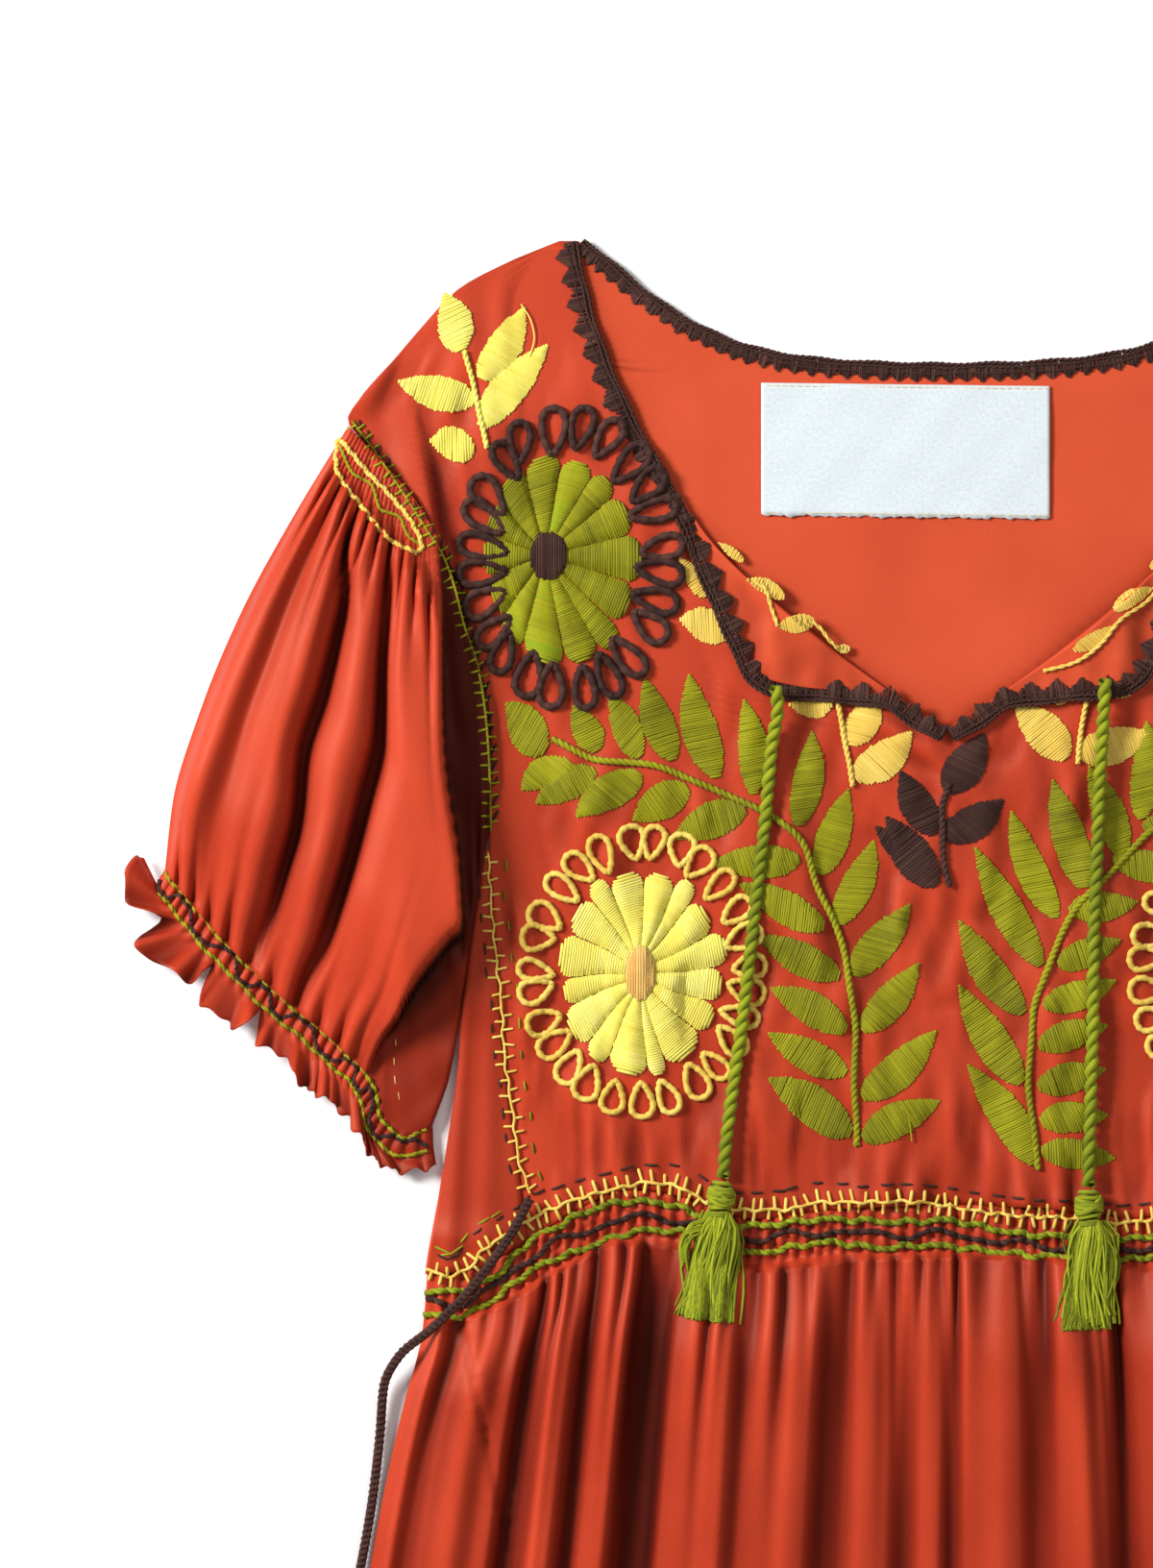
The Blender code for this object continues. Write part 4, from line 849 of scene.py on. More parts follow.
def lapel_surface(share, across):
    """(across, down, height) on a turned-back corner: share runs down the fold, across goes out to its edge."""
    fold = np.stack([curve(LAPEL, share, k) for k in (1, 2)], -1)
    edge = np.stack([curve(LAPEL, share, k) for k in (3, 4)], -1)
    spot = fold + (edge - fold) * across[..., None]
    roll = 2.6 * (1 - across) ** 1.5 * bump((share - 0.5) / 0.55)
    lift = 1.3 + roll + 0.25 * ripple(spot[..., 0], spot[..., 1], 71, 8, 30.0, 10.0)
    lift = lift * ease((across + 0.02) / 0.05) + 0.2
    return spot, bodice_height(spot[..., 0], spot[..., 1]) + lift


def lapels(cloth):
    for word, side in SIDES.items():
        share, across = np.meshgrid(np.linspace(0.0, 1.0, 64), np.linspace(0, 1, 24), indexing="ij")
        spot, z = lapel_surface(share, across)
        name = f"neck_corner_{word}"
        x = spot[..., 0] * side
        made = shell(name + "_cloth", x, spot[..., 1], z, cloth, wall=0.4, flip=side < 0)
        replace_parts(made, name)


def crochet(name, node, line, surface, facing, material, length, lacy=0.0, seed=1, tall=3.9, pitch=8.8):
    """A crocheted edging: a corded rim, and clusters of yarn that reach into the cloth in points."""
    draw = np.random.default_rng(seed)
    bundle = Threads(name, material, "crochet")
    count = int(length / 0.62)
    share = np.linspace(0, 1, count)
    spots = line(share)
    along = np.gradient(spots, axis=0)
    along = along / np.linalg.norm(along, axis=1)[:, None]
    into = np.stack([along[:, 1], -along[:, 0]], -1) * np.sign(facing(share))[:, None]
    at = share * length / pitch
    tooth = 1 - np.abs(2 * (at - np.floor(at)) - 1)
    lean = ((at - np.floor(at)) - 0.5) * -2.3
    reach = 2.1 + (tall * tooth ** 0.8) * np.abs(facing(share)) + draw.uniform(-0.35, 0.35, count)
    start = spots - into * 1.9
    end = spots + into * reach[:, None] + along * (lean * tooth)[:, None]
    keep = draw.uniform(0, 1, count) > lacy * (1 - 0.6 * tooth)
    tones = draw.uniform(0.1, 0.9, count)
    bundle.stitches(start[keep], end[keep], surface, draw.uniform(0.55, 0.95, keep.sum()), 0.44, tones[keep], steps=4)
    for offset, radius, high in ((-2.0, 0.72, 0.75), (-0.7, 0.55, 1.05), (1.3, 0.4, 0.95)):
        for ply in (0, math.pi):
            turn = share * length * 2 * math.pi / 4.2 + ply
            wobble = 0.25 * np.sin(share * length / 3.1 + offset)
            spot = spots + into * (offset + wobble + radius * 0.55 * np.cos(turn))[:, None]
            z = surface(spot[:, 0], spot[:, 1]) + high + radius * 0.55 * np.sin(turn)
            # painted light: each ply of the rim is lighter on top of its twist and darker underneath
            tone = 0.45 + 0.25 * np.sin(turn)
            bundle.tube(place(spot[::2, 0], spot[::2, 1], z[::2]), radius * 0.62 * MM, 5, tone[::2])
    made = bundle.build()
    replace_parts(made, node)


def edgings(material):
    for word, side in SIDES.items():
        def line(share, side=side):
            return np.stack([side * curve(FRONT_TRIM, share, 1), curve(FRONT_TRIM, share, 2)], -1)

        def surface(x, down):
            a, b = np.array(FRONT_TRIM)[:, 1], np.array(FRONT_TRIM)[:, 2]
            turned = ease((np.asarray(down) - 96.0) / 14.0)
            return bodice_height(x, down) + 0.15 + turned * 1.7

        def facing(share, side=side):
            value = -side * curve(FRONT_TRIM, share, 3)
            return np.where(np.abs(value) < 0.15, 0.15 * np.sign(value + 1e-6), value)

        crochet(
            f"front_neck_edging_{word}_yarn", f"front_neck_edging_{word}", line, surface, facing, material,
            232.0, 0.16, 81 + int(side),
        )

    def line(share):
        spot = 2 * share - 1
        across = curve(BACK_TRIM, np.abs(spot), 1) * np.sign(spot)
        return np.stack([across, curve(BACK_TRIM, np.abs(spot), 2)], -1)

    crochet(
        "back_neck_edging_yarn", "back_neck_edging", line, lambda x, d: back_surface(x, d), lambda s: -np.ones(len(s)),
        material, 284.0, 0.10, 91, 2.2, 5.6,
    )


def label(material, thread):
    t, u = np.meshgrid(np.linspace(-1, 1, 90), np.linspace(-1, 1, 24), indexing="xy")
    x = -14.3 + t * 50.0
    down = 73.8 + u * 23.0 + 0.6 * t
    ragged = 0.35 * ripple(x, 0 * x, 95, 6, 4.0, 1.6) * ease((u - 0.96) / 0.04)
    z = 2.15 + 0.16 * ripple(x, down, 96, 8, 34.0, 12.0) + 0.3 * ease((np.abs(t) - 0.9) / 0.1) * 0
    made = shell("label_ribbon", x, down + ragged, z, material, wall=0.5)
    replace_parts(made, "label")
    sewing = Threads("label_sewing", thread, "label")
    for top in (True, False):
        spots = np.arange(-48.0, 48.5, 2.6)
        edge = -22.0 if top else 22.0
        for spot in spots:
            d = 73.8 + edge + 0.012 * spot
            path = place([-14.3 + spot, -14.3 + spot + 1.7], [d, d + 0.02], [2.32, 2.32])
            sewing.tube(path, 0.11 * MM, 4, 0.8)
    sewing.build()


# ---- cords, tassels and ties ----

NECK_CORDS = {
    "right": (
        (-59.5, 156.0, 11.7), (-58.8, 163.0, 10.6), (-60.5, 174.0, 7.7), (-62.0, 190.0, 6.3), (-63.6, 207.0, 6.4),
        (-65.8, 226.0, 6.4), (-68.0, 246.0, 6.4), (-70.5, 268.0, 6.4), (-73.6, 290.0, 6.3), (-76.2, 310.0, 7.0),
        (-77.6, 325.0, 8.2),
    ),
    "left": (
        (54.2, 153.5, 11.7), (53.8, 162.0, 10.6), (53.4, 174.0, 7.8), (52.4, 194.0, 6.4), (51.6, 218.0, 6.5),
        (50.6, 244.0, 6.6), (50.3, 271.0, 6.6), (49.6, 297.0, 6.5), (49.0, 317.0, 7.2), (48.6, 328.0, 8.4),
    ),
}
TASSEL_TILT = {"right": -0.11, "left": 0.02}
TASSEL_RISE = {"right": 0.046, "left": 0.057}
TIE = (
    (144.5, 333.0, 6.1), (151.0, 345.0, 7.2), (159.5, 357.0, 8.9), (169.0, 368.5, 9.0), (179.0, 378.0, 10.5),
    (189.5, 387.0, 7.4), (195.0, 398.0, 4.4), (196.3, 414.0, 2.9), (198.8, 436.0, 2.8), (203.3, 462.0, 2.8),
    (209.5, 492.0, 2.8), (218.0, 524.0, 2.8), (226.5, 558.0, 2.8), (233.0, 594.0, 2.8), (238.5, 630.0, 2.8),
    (245.5, 666.0, 2.8), (254.0, 702.0, 2.8), (260.0, 738.0, 2.8), (265.5, 774.0, 2.8), (271.5, 808.0, 2.8),
    (278.5, 838.0, 2.8),
)


def route(rows, spacing):
    """Evenly spaced (x, down, height) places on a smooth curve through the rows, and their distances along it."""
    table = np.array(rows, float)
    length = np.concatenate([[0], np.cumsum(np.linalg.norm(np.diff(table, axis=0), axis=1))])
    keyed = np.column_stack([length, table])
    at = np.linspace(0, length[-1], int(length[-1] / spacing) + 1)
    return np.stack([curve(keyed, at, k) for k in (1, 2, 3)], -1), at


def twisted(bundle, spots, at, plies, pitch, radius, offset, sides=8, seed=0, flat=1.0):
    """A cord of several plies twisted together about a route."""
    ahead = np.gradient(spots, axis=0)
    ahead = ahead / np.linalg.norm(ahead, axis=1)[:, None]
    side = np.cross(ahead, np.array([0, 0, 1.0]))
    side = side / np.linalg.norm(side, axis=1)[:, None]
    over = np.cross(side, ahead)
    draw = np.random.default_rng(seed)
    drift = 0.25 * np.sin(at / 21.0 + seed)
    for k in range(plies):
        turn = 2 * math.pi * (at / pitch + k / plies) + drift
        path = spots + offset * (side * np.cos(turn)[:, None] + flat * over * np.sin(turn)[:, None])
        thick = radius * (1 + 0.06 * np.sin(at / 2.3 + k) + 0.04 * draw.uniform(-1, 1, len(at)))
        # painted light: each ply is lighter where it turns over the top of the cord and darker where it turns under;
        # the slow wave along the cord is a change of tone
        tone = 0.42 + 0.16 * np.sin(at / 17.0 + k) + 0.12 * np.sin(turn)
        bundle.tube(place(path[:, 0], path[:, 1], path[:, 2]), thick * MM, sides, tone)


def fuzz(bundle, spots, at, reach, count, seed, radius=0.07):
    """Short loose fibres that stand off a yarn."""
    draw = np.random.default_rng(seed)
    for _ in range(count):
        i = draw.integers(1, len(spots) - 2)
        out = draw.normal(0, 1, 3)
        out[2] = abs(out[2])
        out = out / np.linalg.norm(out)
        base = spots[i] + out * reach * 0.7
        tip = base + (out + 0.8 * draw.normal(0, 1, 3)) * reach * draw.uniform(0.3, 0.8)
        tip[2] = max(tip[2], base[2] * 0.5)
        bend = 0.5 * (base + tip) + draw.normal(0, 0.2, 3) * reach
        path = np.array([base, bend, tip])
        bundle.tube(place(path[:, 0], path[:, 1], path[:, 2]), radius * MM, 3, 0.7)


def tassel(word, end, way, material):
    """A wound head, its neck, and a skirt of cut threads, with a few stray locks on the right tassel."""
    draw = np.random.default_rng(7 if word == "left" else 9)
    bundle = Threads(f"tassel_{word}_threads", material, "green_thread")
    side = np.array([way[1], -way[0], 0.0])
    side = side / np.linalg.norm(side)
    over = np.cross(way, side)
    over = over if over[2] > 0 else -over

    def at(along, across, up):
        return end + way * along + side * across + over * up

    profile = ((0.0, 1.5), (1.5, 2.9), (4.2, 3.9), (7.4, 3.9), (10.0, 2.9), (11.6, 2.6))
    turns = np.linspace(0, 1, 330)
    along = 0.3 + 11.0 * turns
    radius = curve(profile, along)
    wind = 2 * math.pi * turns * 11
    path = np.array([at(a + 1.0 * math.sin(w * 0.5), r * math.cos(w), 0.85 * r * math.sin(w)) for a, r, w in zip(along, radius, wind)])
    # painted light: the winding is lighter where it crosses the top of the head and darker underneath
    bundle.tube(place(path[:, 0], path[:, 1], path[:, 2]), 0.75 * MM, 5, 0.45 + 0.2 * np.sin(wind))
    for k in range(9):
        turn, skew = draw.uniform(0, 6.28), draw.uniform(-0.9, 0.9)
        w = np.linspace(0, 2 * math.pi, 44, endpoint=False)
        lie = 5.2 + 3.6 * skew * np.cos(w + turn)
        around = np.maximum(curve(profile, np.clip(lie, 0.8, 10.5)) + 0.45, 1.6)
        path = np.array([at(a, r * math.cos(v), 0.85 * r * math.sin(v)) for a, r, v in zip(lie, around, w)])
        bundle.tube(place(path[:, 0], path[:, 1], path[:, 2]), 0.78 * MM, 5, draw.uniform(0.25, 0.75), close=True)
    ring = np.linspace(0, 2 * math.pi * 3, 120)
    path = np.array([at(11.2 + 0.7 * w / 6.28 * 0.6, 3.5 * math.cos(w), 3.0 * math.sin(w)) for w in ring])
    bundle.tube(place(path[:, 0], path[:, 1], path[:, 2]), 0.5 * MM, 6, 0.35)
    for k in range(230):
        angle = draw.uniform(0, 2 * math.pi)
        deep = math.sqrt(draw.uniform(0.05, 1.0))
        spread, thick = deep * math.cos(angle), deep * math.sin(angle)
        length = 36.0 + draw.uniform(-3.6, 1.6)
        drift = draw.normal(0, 1.6)
        curl = draw.normal(0, 1.3)
        spots = []
        for a in np.linspace(0, 1, 8):
            wide = curve(((0.0, 2.8), (0.12, 6.4), (0.35, 7.8), (0.75, 7.9), (1.0, 8.6)), a)
            high = curve(((0.0, 2.4), (0.2, 4.3), (0.5, 4.0), (1.0, 3.2)), a)
            sway = drift * a + curl * math.sin(5 * a + k) + 1.1 * math.sin(4.4 * a + 2.0 * thick)
            spots.append(at(10.8 + a * length, spread * wide + sway, thick * high - 0.6 * a))
        spots = np.array(spots)
        floor = front_surface(spots[:, 0], spots[:, 1]) + 0.35
        spots[:, 2] = np.maximum(spots[:, 2], floor)
        # painted shade: threads that lie lower in the fringe are darker and those on top lighter; the rest of the tone
        # differs from thread to thread
        tone = 0.45 + 0.30 * math.sin(k * 2.4) + 0.30 * thick
        bundle.tube(place(spots[:, 0], spots[:, 1], spots[:, 2]), draw.uniform(0.38, 0.5) * MM, 4, tone)
    for k in range(9):
        out = -1 if word == "right" else draw.choice([-1, 1])
        start = 16.0 + draw.uniform(-2, 3)
        rows = [
            at(start, out * 5.5, 2.0), at(start + 2.0, out * (8.5 + 0.35 * k), 2.6),
            at(start + 7.5, out * (10.0 + 0.3 * k), 1.6), at(start + 13.5, out * (8.6 + 0.32 * k), 0.8),
        ]
        spots, _ = route(rows, 1.2)
        spots[:, 2] = np.maximum(spots[:, 2], front_surface(spots[:, 0], spots[:, 1]) + 0.35)
        if word == "right":
            bundle.tube(place(spots[:, 0], spots[:, 1], spots[:, 2]), 0.42 * MM, 5, draw.uniform(0.4, 0.9))
    made = bundle.build()
    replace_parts(made, f"tassel_{word}")
    return made


def cords(green, brown):
    for word, side in SIDES.items():
        rows = NECK_CORDS[word]
        spots, at = route(rows, 1.0)
        end = np.array(rows[-1])
        tilt = TASSEL_TILT[word]
        way = np.array([math.sin(tilt), math.cos(tilt), TASSEL_RISE[word]])
        way = way / np.linalg.norm(way)
        fringe = tassel(word, end + way * 1.5, way, green)
        bundle = Threads(f"neck_cord_{word}_twist", green, "green_thread")
        twisted(bundle, spots, at, 2, 9.4, 1.34, 1.12, 8, 3)
        made = bundle.build()
        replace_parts(made, f"neck_cord_{word}")
        spots, at = route([(side * x, down, z) for x, down, z in TIE], 1.1)
        bundle = Threads(f"waist_tie_{word}_yarn", brown, "crochet")
        links(bundle, spots, at)
        made = bundle.build()
        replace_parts(made, f"waist_tie_{word}")


def links(bundle, spots, at):
    """A crocheted chain: slanting loops that overlap along a soft core."""
    bundle.tube(place(spots[:, 0], spots[:, 1], spots[:, 2]), 1.0 * MM, 5, 0.25)
    ahead = np.gradient(spots, axis=0)
    ahead = ahead / np.linalg.norm(ahead, axis=1)[:, None]
    side = np.cross(ahead, np.array([0, 0, 1.0]))
    side = side / np.linalg.norm(side, axis=1)[:, None]
    over = np.cross(side, ahead)
    for k, phase in enumerate((0.0, 2.1, 4.2)):
        turn = 2 * math.pi * at / 6.2 + phase
        path = spots + 1.08 * side * np.cos(turn)[:, None] + 1.0 * over * np.sin(turn)[:, None]
        path = path + ahead * (0.9 * np.sin(2 * turn))[:, None]
        # painted light: each loop is lighter where it lies on top of the chain and darker underneath
        tone = 0.45 + 0.25 * np.sin(turn)
        bundle.tube(place(path[:, 0], path[:, 1], path[:, 2]), 0.78 * MM, 5, tone)


# ---- embroidery ----

class Relief:
    """The height of a folded cloth at a place, from the grid that shapes it."""

    def __init__(self, x, down, z):
        spots = np.stack([np.ravel(x), np.ravel(down), np.zeros(np.size(x))], -1)
        self.heights = np.ravel(z)
        self.tree = KDTree(len(spots))
        for i, spot in enumerate(spots):
            self.tree.insert(spot, i)
        self.tree.balance()

    def __call__(self, x, down):
        x, down = np.broadcast_arrays(np.asarray(x, float), np.asarray(down, float))
        out = np.empty(x.size)
        for i, (a, b) in enumerate(zip(x.ravel(), down.ravel())):
            near = self.tree.find_n((a, b, 0.0), 3)
            weights = [1 / (found[2] + 0.05) for found in near]
            out[i] = sum(w * self.heights[found[1]] for w, found in zip(weights, near)) / sum(weights)
        return out.reshape(x.shape)


# Rows of (tip across, tip down, base across, base down, width).
GREEN_LEFT = (
    (-129.3, 162.3, -121.3, 178.0, 10.5), (-117.0, 158.3, -106.0, 179.7, 10.5), (-104.7, 152.7, -95.0, 181.0, 11.5),
    (-89.3, 151.3, -80.0, 187.0, 12.5), (-70.3, 160.0, -66.7, 192.7, 10.5), (-46.7, 171.0, -51.0, 203.7, 11.0),
    (-34.0, 191.0, -43.7, 220.7, 11.5), (-25.3, 209.0, -37.0, 238.0, 11.5), (-13.0, 231.0, -31.3, 255.7, 12.0),
    (-9.7, 251.3, -29.3, 274.7, 11.5), (-3.7, 274.7, -29.3, 297.7, 12.5), (-2.3, 299.0, -29.0, 312.3, 12.0),
    (-152.7, 161.3, -139.0, 177.3, 14.0), (-147.3, 191.3, -131.0, 181.3, 11.5), (-142.3, 196.0, -122.0, 184.7, 11.5),
    (-128.3, 200.7, -106.7, 185.3, 12.5), (-108.7, 202.0, -90.0, 190.0, 12.5), (-95.0, 208.0, -69.7, 198.0, 12.5),
    (-81.7, 217.0, -51.3, 215.0, 11.5), (-72.0, 224.0, -42.7, 238.3, 11.5), (-65.7, 241.7, -37.3, 255.7, 11.5),
    (-61.0, 260.0, -35.0, 274.3, 11.5), (-61.7, 275.7, -35.0, 289.7, 11.5), (-61.7, 291.3, -33.0, 310.3, 14.0),
)
GREEN_RIGHT = (
    (9.7, 211.3, 32.3, 252.0, 11.5), (22.3, 198.7, 37.3, 235.7, 11.0), (36.7, 188.0, 47.3, 225.3, 12.0),
    (49.3, 183.0, 61.3, 214.3, 11.5), (69.0, 167.7, 67.7, 201.3, 11.0), (4.3, 236.7, 26.3, 268.7, 12.0),
    (4.3, 259.0, 25.7, 293.0, 12.5), (7.3, 286.7, 30.0, 320.7, 12.5), (84.7, 163.7, 79.3, 195.7, 11.5),
    (58.3, 319.0, 32.7, 316.3, 10.5), (55.7, 304.0, 32.7, 306.7, 11.0), (55.0, 288.0, 31.7, 294.3, 11.0),
    (55.7, 273.0, 31.7, 280.0, 10.5), (58.3, 257.3, 33.7, 266.3, 10.5), (60.0, 243.3, 38.3, 251.7, 10.0),
    (66.0, 230.0, 42.3, 233.3, 10.5), (85.0, 219.0, 57.3, 215.7, 11.0), (92.3, 200.7, 68.3, 204.7, 11.0),
    (104.7, 153.7, 93.0, 183.0, 11.5), (117.0, 158.3, 106.0, 180.7, 10.5), (129.3, 162.3, 121.3, 178.0, 10.5),
    (152.7, 161.3, 139.0, 177.3, 14.0), (147.3, 191.3, 131.0, 181.3, 11.5), (142.3, 197.0, 122.0, 184.7, 11.5),
    (126.3, 201.7, 106.7, 186.3, 12.5), (110.7, 206.0, 88.0, 194.0, 12.5),
)
LEMON = (
    (-174.0, 19.3, -168.3, 39.3, 12.5), (-146.3, 24.0, -161.3, 49.0, 12.0), (-138.3, 37.0, -161.0, 65.3, 12.5),
    (-190.0, 49.7, -163.7, 56.7, 12.0), (-179.0, 70.3, -163.7, 73.3, 12.0),
)
GOLD = (
    (-24.7, 158.0, -33.0, 176.0, 11.5), (-12.3, 171.3, -31.7, 187.7, 13.0), (-54.7, 161.7, -39.7, 161.0, 10.0),
    (-92.7, 111.0, -83.3, 124.3, 7.0), (-92.3, 132.3, -75.7, 136.3, 12.0), (23.7, 161.7, 41.3, 180.3, 13.5),
    (70.3, 171.3, 45.3, 179.0, 13.0), (48.7, 156.7, 66.7, 150.7, 12.0), (33.3, 156.0, 42.3, 158.0, 10.0),
    (92.7, 111.0, 83.3, 124.3, 7.0), (92.3, 132.3, 75.7, 136.3, 12.0),
)
BROWN = (
    (13.0, 172.0, 0.3, 192.0, 13.5), (-16.0, 185.0, -5.0, 206.7, 12.0), (19.3, 194.7, -0.3, 208.7, 12.5),
    (-21.0, 200.7, -3.7, 224.3, 13.5), (-24.7, 204.0, -15.0, 215.0, 6.0),
)
# The reverse of the gold leaves, on the turned-back corners.
REVERSE = (
    (-79.0, 105.8, -70.5, 112.0, 3.4), (-69.5, 118.4, -56.5, 124.6, 5.6), (-59.0, 134.6, -46.0, 132.6, 6.4),
    (-38.5, 142.2, -33.5, 142.6, 3.2), (71.5, 121.5, 57.5, 129.0, 5.6), (57.5, 134.5, 44.0, 143.0, 5.4),
    (79.5, 108.5, 70.5, 114.5, 4.2),
)
STEMS = {
    "green": (
        (
            (-136.7, 173.7), (-120.7, 181.0), (-104.7, 182.3), (-87.3, 188.3), (-72.7, 194.7), (-58.0, 202.0),
            (-50.3, 209.3), (-45.7, 223.0), (-39.3, 236.3), (-34.3, 255.0), (-32.0, 274.7), (-32.0, 292.0),
            (-31.3, 314.5),
        ),
        (
            (136.7, 174.7), (120.7, 182.0), (104.7, 187.3), (85.0, 198.0), (71.7, 204.7), (62.7, 214.0), (56.0, 220.3),
            (46.7, 229.7), (38.7, 243.0), (33.7, 256.0), (29.7, 269.3), (28.3, 289.0), (29.7, 308.7), (31.7, 322.7),
        ),
    ),
    "lemon": (
        ((-167.0, 39.3), (-164.3, 49.0), (-162.7, 59.0), (-160.0, 69.0), (-159.0, 73.0)),
        ((167.0, 39.3), (164.3, 49.0), (162.7, 59.0), (160.0, 69.0), (159.0, 73.0)),
    ),
    "gold": (
        ((-38.7, 158.7), (-36.0, 170.7), (-34.0, 180.7), (-33.0, 190.0)),
        ((48.7, 157.3), (47.0, 169.0), (45.7, 177.3), (45.0, 182.3)),
    ),
    "brown": (((1.0, 189.0), (-2.0, 199.3), (-1.7, 209.0), (-0.7, 217.3), (1.0, 224.7)),),
    "reverse": (
        ((-66.5, 119.5), (-62.7, 121.8), (-60.9, 128.0), (-59.0, 134.7)),
        ((-46.5, 133.0), (-43.0, 136.2), (-41.2, 139.0), (-38.2, 142.2)),
        ((33.5, 150.2), (43.0, 147.6), (53.5, 140.5), (60.0, 132.5), (69.0, 126.0), (78.0, 115.0)),
    ),
}
# Loose thread ends that lie on the cloth.
STRAYS = {
    "lemon": (((-147.5, 23.0), (-144.0, 29.0), (-142.9, 34.7), (-144.4, 41.0)),),
    "green": (((-56.0, 293.0), (-52.6, 298.0), (-51.2, 305.0)), ((-17.5, 300.0), (-13.4, 304.0), (-12.2, 313.0))),
}
LEAF = ((0.0, 0.26), (0.1, 0.64), (0.3, 0.96), (0.45, 1.0), (0.65, 0.84), (0.85, 0.46), (0.96, 0.17), (1.0, 0.06))


def leaf(bundle, row, surface, seed, pitch=0.84, arch=0.75, loose=0.17, tone=0.5, thick=0.56):
    """Satin stitches side by side across a pointed leaf."""
    draw = np.random.default_rng(seed)
    tip, base, width = np.array(row[0:2]), np.array(row[2:4]), row[4]
    axis = tip - base
    long = np.linalg.norm(axis)
    axis = axis / long
    cross = np.array([-axis[1], axis[0]])
    share = (np.arange(int(long / pitch)) + 0.5) / int(long / pitch)
    bend = 0.045 * long * draw.uniform(-1, 1) * np.sin(math.pi * share)
    middle = base + axis * (share * long)[:, None] + cross * bend[:, None]
    half = 0.5 * width * curve(LEAF, share)
    slant = draw.uniform(-0.30, 0.30) + 0.1
    ends = []
    for way in (-1, 1):
        reach = half + loose * draw.normal(0, 1, len(share)) * np.minimum(half / 2.5, 1)
        along = way * slant * reach + 0.12 * draw.normal(0, 1, len(share))
        ends.append(middle + cross * (way * reach)[:, None] + axis * along[:, None])
    fade = tone + 0.10 * math.sin(seed * 2.1) + 0.10 * np.sin(share * 5 + seed) + 0.07 * draw.normal(0, 1, len(share))
    bundle.stitches(ends[0], ends[1], surface, arch * np.sqrt(half / 5.5), thick, fade, 5)


def stem(bundle, points, surface, seed, radius=0.72, offset=0.55, pitch=4.6, tone=0.45):
    """Outline stitch: slanting stitches that overlap like a rope."""
    spots, at = route([(x, down, 0.0) for x, down in points], 0.8)
    drift = 0.3 * np.sin(at / 5.0 + seed)
    spots[:, 0] = spots[:, 0] + drift
    spots[:, 2] = surface(spots[:, 0], spots[:, 1]) + 0.85
    twisted(bundle, spots, at, 2, pitch, radius, offset, 6, seed, 0.7)


FLOWERS = {
    "green": ((-133.3, 111.7, 27.3, 36.1), (-138.0, 110.3, 6.2, 8.4), (-130.3, 111.0, 40.2, 53.8), 14, 24, 0.0),
    "yellow": ((-105.3, 254.3, 28.2, 35.6), (-106.3, 254.7, 4.8, 9.4), (-105.7, 254.2, 43.8, 51.5), 16, 27, 0.16),
}


def petals(bundle, side, outer, core, count, swirl, seed, tones):
    """Raised lobes round a core, each of stitches across it, with a groove between neighbours."""
    draw = np.random.default_rng(seed)
    bounds = 2 * math.pi * (np.arange(count + 1) + 0.22 * np.append(draw.uniform(-1, 1, count), 0)) / count
    bounds[-1] = bounds[0] + 2 * math.pi
    for k in range(count):
        first, last = bounds[k], bounds[k + 1]
        middle = 0.5 * (first + last)
        far = 1.0 + 0.055 * draw.uniform(-1, 1)

        def spot(angle, share):
            turn = angle + swirl * np.sin(math.pi * share)
            inner = np.stack([core[0] + 0.9 * core[2] * np.sin(turn), core[1] - 0.9 * core[3] * np.cos(turn)], -1)
            tip = np.stack([outer[0] + outer[2] * far * np.sin(angle) + 0 * share, outer[1] - outer[3] * far * np.cos(angle) + 0 * share], -1)
            return inner + (tip - inner) * share[:, None]

        long = math.hypot(*(spot(middle, np.array([1.0]))[0] - spot(middle, np.array([0.0]))[0]))
        n = int(long / 0.86)
        share = (np.arange(n) + 0.5) / n
        lobe = np.sqrt(np.clip(1 - (np.maximum(share - 0.78, 0) / 0.225) ** 2.8, 0.05, 1))
        half = 0.5 * (last - first) * 0.975
        ends = []
        for way in (-1, 1):
            jitter = 0.02 * draw.normal(0, 1, n)
            pair = spot(middle + way * half * lobe * (1 + jitter), share)
            ends.append(pair)
        wide = np.linalg.norm(ends[1] - ends[0], axis=1)
        tone = tones[k % len(tones)] + 0.08 * draw.normal(0, 1, n) + 0.10 * np.sin(share * 7 + k)
        for pair in ends:
            pair[:, 0] *= -side
        arch = np.minimum(0.16 * wide + 0.35, 1.9) * ease(share / 0.14 + 0.25)
        bundle.stitches(ends[0], ends[1], front_surface, arch, 0.56, tone, 6)


def core_knot(bundle, side, core, seed):
    """The flower's core: stitches down it, over a low dome."""
    draw = np.random.default_rng(seed)
    offsets = np.arange(-core[2] + 0.5, core[2] - 0.3, 0.85)
    half = core[3] * np.sqrt(np.clip(1 - (offsets / core[2]) ** 2, 0.05, 1))
    x = -side * (core[0] + offsets)
    top = np.stack([x, core[1] - half + 0.4 * draw.normal(0, 1, len(x))], -1)
    low = np.stack([x, core[1] + half + 0.4 * draw.normal(0, 1, len(x))], -1)
    bundle.stitches(top, low, lambda a, d: front_surface(a, d) + 0.8, 0.95, 0.6, 0.45 + 0.15 * draw.normal(0, 1, len(x)), 9)


